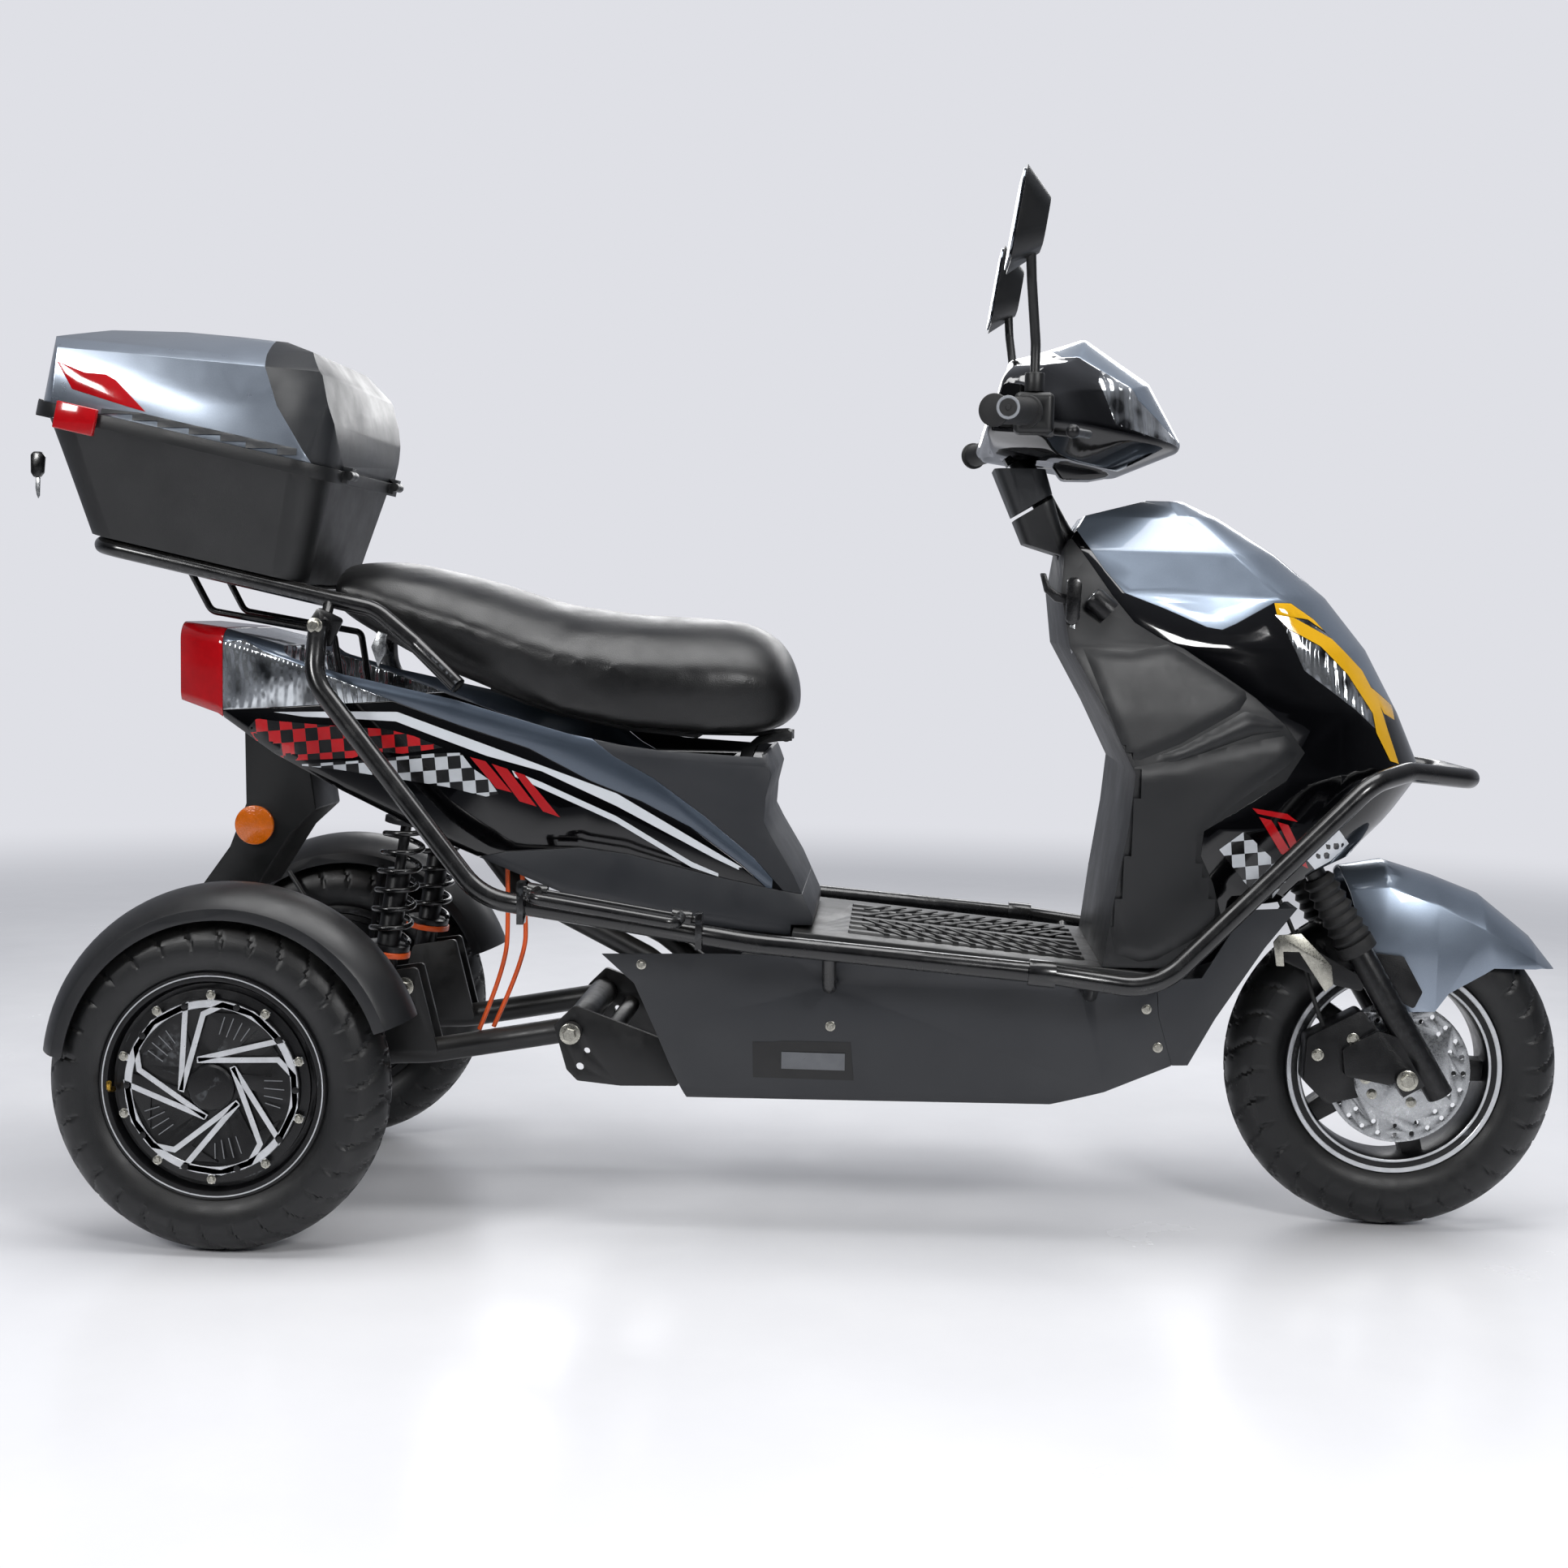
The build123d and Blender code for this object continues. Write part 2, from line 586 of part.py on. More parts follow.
fork_room = steer * (Pos(0, 0, -560) * Cylinder(130, 180) & Pos(165, 0, -560) * Box(400, 400, 400))
fork_room += steer * round_bar((0, 0, -480), (0, 0, 60), stem_r + 6)
belly_outer = trough(belly_half + 10, belly_half - 26, 170, 0)
belly_inner = trough(belly_half + 10, belly_half - 26, 174, wall)
belly_hollow = belly_inner & side_block(
    [(400, 520), (400, belly_floor), (1019, belly_floor), (1085, 206), (1167, 244), (1189, 245), (1216, 304),
     (1272, 396), (1309, 447), (1400, 520)], -300, 300)
belly_shell = belly_outer - belly_hollow
belly_region = side_block(belly_low + belly_top, -260, 260)
front_low_region = side_block([(1145.35, 348), (1149.35, 303), (1168.3, 239.2), (1188, 240), (1219, 301), (1275, 393),
                               (1312, 444), (1250, 440), (1200, 352)], -260, 260)

arm_stations = [740, 1060]      # tubes that carry the guards out from the frame
arm_z = 334.0
guard_arm_r = 9.0
belly = belly_shell & belly_region
for x in arm_stations:
    belly -= across(x, arm_z, guard_arm_r + seat_gap, -300, 300)
front_low = (belly_shell & front_low_region) - fork_room
write("belly_panels", belly, front_low)

write("battery_block", Pos(814, 0, belly_floor + seat_gap + 75) * Box(400, 150, 150))


# Guard tubes: down beside the seat, along the footboard and round the nose
def guard_z(x):
    return 392.0 - (x - 640.0) * 27.0 / 350.0


joint_x = 1003.0
right_guard = [(88, -178, 764), (87, -198, 700), (310, -248, 438), (640, -guard_half, guard_z(640)),
               (joint_x - seat_gap, -guard_half, guard_z(joint_x))]
rest_y = -guard_half - guard_r - 8
rest_rear, rest_front = (364, 454.4), (582, 421.6)


def guard_tube():
    """Rear part of the right guard, its arms to the frame, and the rod the foot rest turns on."""
    body = tube(right_guard, guard_r, [70, 90, 500])
    arm_end = -rail_half - 7 - seat_gap
    body += tube([(740, -guard_half, guard_z(740)), (740, -222, arm_z), (740, arm_end, arm_z)], guard_arm_r, [16])
    for x, z in (rest_rear, rest_front):
        low = z - 44 if x < 400 else z - 36
        body += side_block([(x - 4, low), (x + 4, low), (x + 4, z + 8), (x - 4, z + 8)], rest_y - 6, -guard_half - 4)
    body += round_bar((rest_rear[0], rest_y, rest_rear[1]), (rest_front[0], rest_y, rest_front[1]), 4)
    return body


write("guard_tubes_rear", *both(guard_tube()))

loop_half = [(joint_x + 2, -guard_half, guard_z(joint_x + 2)), (1136, -250, 347), (1396, -196, 600), (1450, -150, 612),
             (1546, -84, 600)]
loop_points = loop_half + [(x, -y, z) for x, y, z in reversed(loop_half)]
guard_loop = tube(loop_points, guard_r, [90, 60, 60, 40, 40, 60, 60, 90])
for side in (-1, 1):
    sleeve = round_bar((982, side * guard_half, guard_z(982)), (1014, side * guard_half, guard_z(1014)), guard_r + 4)
    bore = round_bar((972, side * guard_half, guard_z(972)), (joint_x, side * guard_half, guard_z(joint_x)),
                     guard_r + seat_gap)
    guard_loop += sleeve - bore
    guard_loop += tube([(1060, side * guard_half, guard_z(1060) - 2), (1060, side * 222, arm_z),
                        (1060, side * (rail_half + 7 + seat_gap), arm_z)], guard_arm_r, [14])
write("guard_loop_front", guard_loop)


# Rack under the top box, level with its floor
tub_depth = 150.0
rack_slope = tan(radians(box_tilt))


def rack_z(x):
    floor = box_z - tub_depth / cos(radians(box_tilt)) - (x - box_x) * rack_slope
    return floor - (rack_r + seat_gap) / cos(radians(box_tilt))


def rear_rack():
    half = [(262, -body_half - 12, 694), (204, -rack_half - 4, 745), (150, -rack_half, rack_z(150)),
            (-214, -rack_half, rack_z(-214))]
    body = tube(half + [(x, -y, z) for x, y, z in reversed(half)], rack_r, [30, 60, 40, 40, 60, 30])
    for x in (-120, 40):
        body += round_bar((x, -rack_half, rack_z(x)), (x, rack_half, rack_z(x)), 8)
    plate = side_block([(116, 775), (84, 790), (66, 762), (98, 738)], -165, -159, 5)
    stay = round_bar((92, -rack_half, rack_z(92)), (92, -162, 770), 7)
    rod = tube([(-118, -tail_rail_half, rack_z(-118)), (-84, -tail_rail_half, 782), (78, -tail_rail_half, 756),
                (94, -tail_rail_half, 657.2)], 4.5, [16, 10])
    for piece in both(plate, stay, rod):
        body += piece
    return body


write("rear_rack", rear_rack())


# Rear body: the tail, its lamps, the under-seat panels and the side skirts
# x, bottom z, top z, half width
body_sections = [
    (-118, 655, 768, 92), (-60, 640, 762, 122), (20, 590, 742, 140), (110, 545, 716, 148), (250, 480, 688, 151),
    (400, 420, 647, 152), (470, 408, 634, 152), (520, 396, 628, 150), (640, 376, 622, 145), (740, 366, 622, 140),
]
body_corner = 24.0


def body_loft(inset, over, under):
    faces = []
    for x, low, high, half in body_sections:
        top = high - inset if x < 60 else high + over
        bottom = low - under
        plane = Plane(origin=(x, 0, (top + bottom) / 2), x_dir=(0, 1, 0), z_dir=(1, 0, 0))
        faces.append(plane * RectangleRounded(2 * (half - inset), top - bottom, body_corner - inset))
    return loft(faces, ruled=True)


front_face = [(-200, 300), (716, 300), (714, 410), (688, 465), (660, 511), (650, 530), (652, 560), (659, 590),
              (650, 614), (628, 618), (-200, 900)]
front_region = side_block(front_face, -300, 300)
inner_face = [(x - wall, z) for x, z in front_face[1:9]] + [(644, 900), (-200, 900), (-200, 300)]
inner_region = side_block(inner_face, -300, 300)
body_outer = body_loft(0, 0, 0) & front_region
body_inner = body_loft(wall, 40, 40) & inner_region
body_shell = body_outer - body_inner

lamp_line = -52.0
black_top = [(-52, 656), (34, 662), (176, 673), (256, 646), (351, 617), (431, 577), (495, 553), (558, 521), (623, 475),
             (662, 440)]
slate_front = [(400, 664), (411, 646), (459, 609), (510, 582), (574, 536), (638, 484), (680, 438)]
skirt_top = [(284, 476), (322, 484), (417, 492), (481, 485), (576, 462), (671, 443), (735, 434)]
lens_outline = [(-52, 656), (-52, 743), (-23, 746), (5, 732), (55, 716), (176, 673), (34, 662)]


def moved(points, dx=0.0, dz=0.0):
    return [(x + dx, z + dz) for x, z in points]


lens_region = side_block(moved(lens_outline), -300, 300)
lens_gap = side_block(lens_outline, -300, 300)
red_region = side_block([(-200, 600), (lamp_line - seam, 600), (lamp_line - seam, 900), (-200, 900)], -300, 300)
tail_region = side_block([(lamp_line, 0), (lamp_line, 900), (900, 900), (900, 0)], -300, 300)
above_black = side_block(black_top + [(690, 900), (-200, 900), (-200, 656)], -300, 300)
behind_front = side_block(slate_front + [(680, 300), (-200, 300), (-200, 900), (400, 900)], -300, 300)
above_skirt = side_block([(-200, 476)] + skirt_top + [(760, 900), (-200, 900)], -300, 300)
below_skirt = side_block(moved([(250, 470)] + skirt_top, 0, -seam) + [(735, 300), (250, 300)], -300, 300)
skirt_low = side_block([(280, 900), (280, 448), (420, 416), (520, 402), (board_rear - 3, 385), (board_rear - 3, 399),
                        (760, 399), (760, 900)], -300, 300)

side_skin = body_shell & tail_region
write("tail_lamp_red", (body_shell & red_region))
write("tail_lens", (side_skin & lens_region) & (Pos(60, 0, 0) * Box(400, 600, 2000)))
below_black = side_block(moved(black_top, 0, -seam) + [(690, 300), (-200, 300), (-200, 656 - seam)], -300, 300)
ahead_of_slate = side_block(moved(slate_front, seam, seam) + [(900, 300), (900, 900), (400, 900)], -300, 300)
write("tail_upper", ((side_skin - lens_gap) & above_black) & behind_front & above_skirt)
write("tail_lower", side_skin & above_skirt & behind_front & below_black)
write("under_seat_panel", (side_skin & above_skirt) & ahead_of_slate)
write("side_skirts", side_skin & below_skirt & skirt_low)

tray_low, tray_rim = 466.0, 600.0
tray_rear, tray_front, tray_half = 345.0, 600.0, 100.0
tray_t = 3.0


def seat_tray():
    """An open bin whose rim reaches the body panels, with the ears and pin of the seat's hinge."""
    rim = body_loft(wall + seat_gap, 40, 40) & Pos(-seat_gap, 0, 0) * inner_region
    rim = rim & Pos((290 + 660) / 2, 0, tray_rim - 2) * Box(660 - 290, 400, 4)
    middle = ((tray_rear + tray_front) / 2, 0, (tray_low + tray_rim) / 2)
    size = (tray_front - tray_rear, 2 * tray_half, tray_rim - tray_low)
    body = rim + Pos(*middle) * Box(*size)
    body -= Pos(middle[0], 0, middle[2] + tray_t) * Box(size[0] - 2 * tray_t, size[1] - 2 * tray_t, size[2])
    for side in (-1, 1):
        low, high = sorted((side * (tongue_half + 1), side * (tongue_half + 9)))
        body += side_block([(608, 597), (622, 597), (632, 619), (660, 625), (678, 626), (678, 638), (664, 638),
                            (628, 627), (612, 612)], low, high)
    return body + across(hinge_x, hinge_z, hinge_pin_r, -tongue_half - 9, tongue_half + 9)


# Seat, the tray under it and the hinge at its nose
# x, bottom z, top z, half width
seat_sections = [
    (76, 794, 850, 98), (130, 764, 850, 110), (180, 738, 844, 118), (235, 714, 833, 127), (290, 693, 820, 136),
    (335, 676, 806, 145), (380, 662, 794, 150), (470, 644, 783, 150), (560, 637, 780, 142), (600, 637, 778, 134),
    (630, 637, 773, 124), (656, 642, 760, 110), (674, 650, 740, 94), (688, 668, 706, 70),
]


def seat_loft():
    faces = []
    for x, low, high, half in seat_sections:
        shoulder = low + (high - low) * 0.55
        outline = (
            Line((-half + 14, low), (-half, shoulder))
            + ThreePointArc((-half, shoulder), (0, high), (half, shoulder))
            + Line((half, shoulder), (half - 14, low))
            + Line((half - 14, low), (-half + 14, low))
        )
        faces.append(Plane(origin=(x, 0, 0), x_dir=(0, 1, 0), z_dir=(1, 0, 0)) * make_face(outline))
    return loft(faces, ruled=True)


write("seat", seat_loft())

hinge_x, hinge_z = 670.0, 632.0
hinge_pin_r = 4.0
pan_t = 6.0
pan_line = [(x, low - seat_gap) for x, low, high, half in seat_sections if 290 <= x <= 630]
pan_half, tongue_half = 92.0, 22.0


def seat_pan():
    low_line = [(x, z - pan_t) for x, z in reversed(pan_line)]
    plate = side_block([p for p in pan_line if p[0] <= 560] + [p for p in low_line if p[0] <= 560], -pan_half, pan_half)
    tongue = side_block(
        [(540, 636), (630, 636.7), (656, 639), (hinge_x, 640), (hinge_x, hinge_z), (656, 632), (630, 630.7), (540, 630.7)],
        -tongue_half, tongue_half)
    knuckle = across(hinge_x, hinge_z, 8, -tongue_half, tongue_half)
    return (plate + tongue + knuckle) - across(hinge_x, hinge_z, hinge_pin_r + run_gap, -40, 40)


write("seat_pan", seat_pan())
write("seat_tray", seat_tray())


# Fairing and leg shield
# z, rear x, rear half width, shoulder x, shoulder half width, nose x
fairing_sections = [
    (360, 1078, 170, 1190, 160, 1262), (450, 1090, 182, 1272, 150, 1372), (540, 1104, 190, 1332, 140, 1452),
    (604, 1110, 191, 1372, 126, 1497), (680, 1072, 188, 1372, 120, 1464), (760, 1026, 172, 1338, 116, 1420),
    (826, 1016, 142, 1288, 106, 1366), (880, 1022, 106, 1232, 86, 1300), (925, 1050, 62, 1168, 54, 1228),
    (947, 1130, 22, 1158, 20, 1181),
]


def fairing_loft(inset):
    faces = []
    for z, rear_x, rear_half, mid_x, mid_half, nose_x in fairing_sections:
        plane = Plane(origin=(0, 0, z), x_dir=(1, 0, 0), z_dir=(0, 0, 1))
        rx, rw, mx, mw, nx = rear_x + inset, rear_half - inset, mid_x, mid_half - inset, nose_x - inset
        outline = (
            Line((rx, -rw), (mx, -mw))
            + ThreePointArc((mx, -mw), (nx, 0), (mx, mw))
            + Line((mx, mw), (rx, rw))
            + Line((rx, rw), (rx, -rw))
        )
        faces.append(plane * make_face(outline))
    return loft(faces, ruled=True)


head_room = steer * round_bar((0, 0, -470), (0, 0, -270), 26 + seat_gap)
arch = side_block(
    [(1540, 606), (1496, 603), (1478, 577), (1412, 517), (1375, 470), (1340, 430), (1290, 400), (1240, 300),
     (1540, 300)], -300, 300)
bottom_cut = side_block([(1000, 340), (1400, 340), (1250, 372), (1150, floor_z(1150) + seat_gap),
                         (1000, floor_z(1000) + seat_gap)], -300, 300)
fairing_shell = fairing_loft(0) - fairing_loft(wall) - arch - fork_room - head_room

silver_low = [(1033, 913), (1070, 857), (1095, 827), (1146, 808), (1199, 786), (1218, 783), (1236, 791), (1284, 818),
              (1306, 818), (1337, 798), (1372, 761), (1400, 724), (1450, 690)]
trim_low = [(1450, 672), (1432, 681), (1419, 704), (1403, 730), (1363, 776), (1328, 798), (1288, 803)]
leg_seam = [(1023, 906), (1055, 861), (1080, 824), (1108, 790), (1138, 772), (1169, 759), (1222, 725), (1261, 699),
            (1299, 666), (1325, 632), (1302, 597), (1265, 574), (1199, 534), (1196, 503), (1213, 469), (1245, 360)]
lamp_low = [(1290, 801), (1323, 734), (1390, 686), (1417, 663), (1440, 670)]

silver_region = side_block(silver_low + [(1600, 690), (1600, 1000), (1000, 1000)], -300, 300)
below_silver = side_block(moved(silver_low, 0, -seam) + [(1600, 688), (1600, 300), (1000, 300), (1000, 913)], -300, 300)
ahead_of_seam = side_block(leg_seam + [(1600, 300), (1600, 1000), (1023, 1000)], -300, 300)
behind_seam = side_block(moved(leg_seam, -seam, 0) + [(1244, 300), (900, 300), (900, 1000), (1020, 1000)], -300, 300)
trim_region = side_block(moved(silver_low[7:], 0, 2) + trim_low, -300, 300)
lamp_area = side_block(lamp_low + moved(trim_low[1:], -0.5, -1.5), -300, 300)
nose = (fairing_shell & below_silver & ahead_of_seam) - (belly_outer & front_low_region)
write("fairing_silver", (fairing_shell & silver_region) & ahead_of_seam)
write("fairing_black", nose - lamp_area - trim_region)
write("headlamp", nose & lamp_area)
write("headlamp_trim", nose & trim_region)
shield = (fairing_shell & behind_seam) - bottom_cut
write("leg_shield", shield + (neck - fairing_loft(0)))


# Passenger foot rests, folded out beside the guard tubes
def rest_at(share, out=0.0):
    return (rest_rear[0] + (rest_front[0] - rest_rear[0]) * share, rest_y - out,
            rest_rear[1] + (rest_front[1] - rest_rear[1]) * share)


def foot_rest():
    body = tube([rest_at(0.1), rest_at(0.1, 60), rest_at(0.9, 60), rest_at(0.9)], 7, [14, 14])
    for low, high in [(0.04, 0.15), (0.85, 0.96)]:
        body += round_bar(rest_at(low), rest_at(high), 9)
    return body - round_bar(rest_at(0), rest_at(1), 4 + run_gap)


rest_right, rest_left = both(foot_rest())
write("foot_rest_right", rest_right)
write("foot_rest_left", rest_left)


# Plate holder under the tail, with an amber reflector on each side
holder_half = 60.0
holder_outline = [(-44, 645), (40, 600), (52, 523), (19, 492), (-31, 413), (-107, 411), (-64, 471), (-42, 529)]
holder = side_block(holder_outline, -holder_half, holder_half)
holder += side_block([(-14, 600), (16, 600), (16, 666 - seat_gap), (-14, 666 - seat_gap)], -50, 50)
write("plate_holder", holder)
write("side_reflectors", *both(across(-29, 501, 26, -holder_half - 8, -holder_half - seat_gap)))


# Top box, in its own tilted axes
box = Plane(
    origin=(box_x, 0, box_z),
    x_dir=(cos(radians(box_tilt)), 0, -sin(radians(box_tilt))),
    z_dir=(sin(radians(box_tilt)), 0, cos(radians(box_tilt))),
)
box_wall = 3.0


def box_outline(front, side_rear, rear, half, corner):
    """A box plan: straight front and sides, a bowed rear, rounded corners."""
    outline = (
        Polyline((side_rear, half), (front, half), (front, -half), (side_rear, -half))
        + ThreePointArc((side_rear, -half), (rear, 0), (side_rear, half))
    )
    face = make_face(outline)
    return fillet(face.vertices(), corner)


def tub_block(inset, floor):
    low = Plane.XY.offset(-tub_depth + floor) * box_outline(192 - inset, -84 + inset, -110 + inset, 150 - inset, 40 - inset)
    high = Plane.XY.offset(-10) * box_outline(203 - inset, -150 + inset, -203 + inset, 186 - inset, 46 - inset)
    return loft([low, high])


rim_plan = Plane.XY.offset(-17) * box_outline(213, -158, -214, box_half + 5, 52)
tub = tub_block(0, 0) + extrude(rim_plan, 17)
hollow = tub_block(box_wall, box_wall) + extrude(
    Plane.XY.offset(-17.5) * box_outline(203 - box_wall, -150 + box_wall, -203 + box_wall, 186 - box_wall, 42), 18)
hinge_at = (220.0, -4.0)  # lid hinge, in the box's axes
hinge_stations = [(-135, -121), (105, 119)]
tub = tub - hollow
for y0, y1 in hinge_stations:
    tub += across(*hinge_at, 6, y0, y1) + Pos(213, (y0 + y1) / 2, -8.5) * Box(14, y1 - y0, 12)
    tub += across(*hinge_at, 2.5, y0, y1 + 18)
write("box_tub", box * tub)

lid_side = [(-208, 0.4), (-200, 72), (-120, 108), (-34, 128), (32, 137), (98, 144), (143, 137), (175, 109), (200, 54),
            (213, 0.4)]


def lid_block(inset):
    profile = [(x * (1 - inset / 210), z - (inset if z > 1 else 0)) for x, z in lid_side]
    side = extrude(side_plane(300) * make_face(Polyline(*profile, close=True)), 600)
    plan = extrude(Plane.XY.offset(0.3) * box_outline(208 - inset, -153 + inset, -208 + inset, box_half - inset, 50), 200)
    w = box_half - inset
    cross = (
        Line((-w, -40), (-w + 16, 84 - inset))
        + ThreePointArc((-w + 16, 84 - inset), (0, 140 - inset), (w - 16, 84 - inset))
        + Line((w - 16, 84 - inset), (w, -40))
        + Line((w, -40), (-w, -40))
    )
    tilt = radians(7.5)
    cross_plane = Plane(origin=(0, 0, 6), x_dir=(0, 1, 0), z_dir=(cos(tilt), 0, sin(tilt)))
    prism = extrude(cross_plane.offset(-400) * make_face(cross), 800)
    return side & plan & prism


lid_shell = lid_block(0) - lid_block(box_wall)
hood_region = extrude(side_plane(300) * make_face(Polyline(
    (60, 200), (92, 120), (128, 60), (186, 0), (300, 0), (300, 200), close=True)), 600)
hood = lid_shell & hood_region
for y0, y1 in hinge_stations:
    knuckle = across(*hinge_at, 6, y1 + 1, y1 + 17)
    knuckle += Pos(212, y1 + 9, 3.3) * Box(16, 16, 6)
    hood += knuckle - across(*hinge_at, 2.5 + run_gap, y0, y1 + 20)
write("lid_silver", box * (lid_shell - hood_region))
write("lid_hood", box * hood)
reflector_outline = [(-242, 1090), (-206, 1076), (-179, 1074), (-166, 1067), (-127, 1028), (-147, 1033), (-180, 1043),
                     (-221, 1055)]
reflector = (box * (lid_block(-1.6) - lid_block(-seat_gap))) & side_block(reflector_outline, -300, -100)
write("lid_reflectors", *both(reflector))

latch_piece = Pos(-110, -box_half - 5 - seat_gap - 4, -12) * Box(52, 8, 34)
write("box_latches", *both(box * latch_piece))
key_tip = key_reach - 22
key = box * (round_bar((-214.6, 0, -8), (-key_tip - 1, 0, -8), 9) + Pos(-key_tip - 11, 0, -8) * Box(22, 3, 22))
write("box_key", key)


# Two power cables hang from the body to the swing arm
cable_r = 3.0
cables = [
    [(319, -arm_half, 470), (321, -arm_half, 400), (318, -arm_half, 330), (284, -arm_half, 247.9)],
    [(336, -arm_half + 1, 470), (344, -arm_half + 2, 400), (342, -arm_half + 3, 340), (302, -arm_half + 4, 251.4)],
]
cable_bends = [[150, 90], [150, 60]]
print("power cable bend radii", cable_bends)
write("power_cables", *[tube(line, cable_r, bends) for line, bends in zip(cables, cable_bends)])
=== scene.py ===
import bpy
import bmesh
import json
import math
from mathutils import Matrix, Vector
from mathutils.bvhtree import BVHTree


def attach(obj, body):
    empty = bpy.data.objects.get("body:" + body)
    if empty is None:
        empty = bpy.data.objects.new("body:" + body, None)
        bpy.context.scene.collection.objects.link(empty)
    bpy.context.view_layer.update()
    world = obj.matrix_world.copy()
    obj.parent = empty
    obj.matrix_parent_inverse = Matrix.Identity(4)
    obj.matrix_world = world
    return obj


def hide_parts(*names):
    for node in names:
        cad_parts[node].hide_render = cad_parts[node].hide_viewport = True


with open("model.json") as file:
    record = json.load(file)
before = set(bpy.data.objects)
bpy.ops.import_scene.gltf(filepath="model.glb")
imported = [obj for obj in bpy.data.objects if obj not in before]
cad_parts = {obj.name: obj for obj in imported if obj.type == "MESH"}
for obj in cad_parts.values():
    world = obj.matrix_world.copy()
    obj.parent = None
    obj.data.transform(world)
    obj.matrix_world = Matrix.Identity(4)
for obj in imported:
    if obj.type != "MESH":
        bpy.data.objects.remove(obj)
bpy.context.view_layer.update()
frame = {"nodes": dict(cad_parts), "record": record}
nodes = frame["nodes"]
bodyOf = {node: body for body, names in frame["record"]["behaviour"]["bodies"].items() for node in names}
rearAxle = -0.672224   # along the row frame's X
sides = {-1: "R", 1: "L"}   # right is -Y
print("frame loaded")


def at(x, y, z):
    # millimetres from the rear axle to the row frame
    return Vector((x / 1000 + rearAxle, y / 1000, z / 1000))


def rgb(code):
    parts = [int(code[i:i + 2], 16) / 255 for i in (1, 3, 5)]
    return tuple(c / 12.92 if c <= 0.04045 else ((c + 0.055) / 1.055) ** 2.4 for c in parts) + (1.0,)


# shared shader effects
def setInputs(node, values):
    for label, value in values.items():
        node.inputs[label].default_value = value


def addNode(tree, kind, values={}, **settings):
    node = tree.nodes.new("ShaderNode" + kind)
    for label, value in settings.items():
        setattr(node, label, value)
    setInputs(node, values)
    return node


def newGroup(name, inputs, output, kind):
    tree = bpy.data.node_groups.new(name, "ShaderNodeTree")
    for label, value in inputs.items():
        socket = tree.interface.new_socket(name=label, in_out="INPUT", socket_type="NodeSocketFloat")
        socket.default_value = value
    tree.interface.new_socket(name=output, in_out="OUTPUT", socket_type="NodeSocket" + kind)
    return tree, tree.nodes.new("NodeGroupInput"), tree.nodes.new("NodeGroupOutput"), tree.links.new


def times(tree, first, second):
    node = addNode(tree, "Math", operation="MULTIPLY")
    tree.links.new(first, node.inputs[0])
    tree.links.new(second, node.inputs[1])
    return node.outputs[0]


def makeMottle():
    inputs = {"Scale": 20.0, "Low": 0.0, "High": 1.0}
    tree, start, end, link = newGroup("mottle", inputs, "Value", "Float")
    coord = addNode(tree, "TexCoord")
    noise = addNode(tree, "TexNoise", {"Detail": 6.0, "Roughness": 0.62})
    ramp = addNode(tree, "MapRange", {"From Min": 0.3, "From Max": 0.7})
    link(coord.outputs["Object"], noise.inputs["Vector"])
    link(start.outputs["Scale"], noise.inputs["Scale"])
    link(noise.outputs["Fac"], ramp.inputs["Value"])
    link(start.outputs["Low"], ramp.inputs["To Min"])
    link(start.outputs["High"], ramp.inputs["To Max"])
    link(ramp.outputs["Result"], end.inputs["Value"])
    return tree


def makeGrain():
    inputs = {"Scale": 900.0, "Strength": 0.1}
    tree, start, end, link = newGroup("grain", inputs, "Normal", "Vector")
    coord = addNode(tree, "TexCoord")
    cells = addNode(tree, "TexVoronoi")
    noise = addNode(tree, "TexNoise", {"Detail": 3.0})
    height = addNode(tree, "Math", operation="ADD")
    bump = addNode(tree, "Bump", {"Distance": 0.0006})
    for texture in (cells, noise):
        link(coord.outputs["Object"], texture.inputs["Vector"])
        link(start.outputs["Scale"], texture.inputs["Scale"])
    link(cells.outputs["Distance"], height.inputs[0])
    link(noise.outputs["Fac"], height.inputs[1])
    link(height.outputs[0], bump.inputs["Height"])
    link(start.outputs["Strength"], bump.inputs["Strength"])
    link(bump.outputs["Normal"], end.inputs["Normal"])
    return tree


def makeDust():
    # settles on what faces up
    tree, start, end, link = newGroup("dust", {"Amount": 0.2}, "Mask", "Float")
    geometry = addNode(tree, "NewGeometry")
    split = addNode(tree, "SeparateXYZ")
    noise = addNode(tree, "TexNoise", {"Scale": 45.0, "Detail": 8.0})
    upward = addNode(tree, "MapRange", {"From Min": 0.1})
    link(geometry.outputs["Normal"], split.inputs[0])
    link(geometry.outputs["Position"], noise.inputs["Vector"])
    link(split.outputs["Z"], upward.inputs["Value"])
    spots = times(tree, upward.outputs["Result"], noise.outputs["Fac"])
    link(times(tree, spots, start.outputs["Amount"]), end.inputs["Mask"])
    return tree


def makeWear():
    # bare spots along the edges
    tree, start, end, link = newGroup("wear", {"Amount": 0.3}, "Mask", "Float")
    geometry = addNode(tree, "NewGeometry")
    edge = addNode(tree, "MapRange", {"From Min": 0.54, "From Max": 0.66})
    noise = addNode(tree, "TexNoise", {"Scale": 160.0, "Detail": 5.0})
    cut = addNode(tree, "MapRange", {"From Min": 0.45, "From Max": 0.62})
    link(geometry.outputs["Pointiness"], edge.inputs["Value"])
    link(geometry.outputs["Position"], noise.inputs["Vector"])
    link(noise.outputs["Fac"], cut.inputs["Value"])
    spots = times(tree, edge.outputs["Result"], cut.outputs["Result"])
    link(times(tree, spots, start.outputs["Amount"]), end.inputs["Mask"])
    return tree


groups = {"mottle": makeMottle(), "grain": makeGrain(), "dust": makeDust(), "wear": makeWear()}


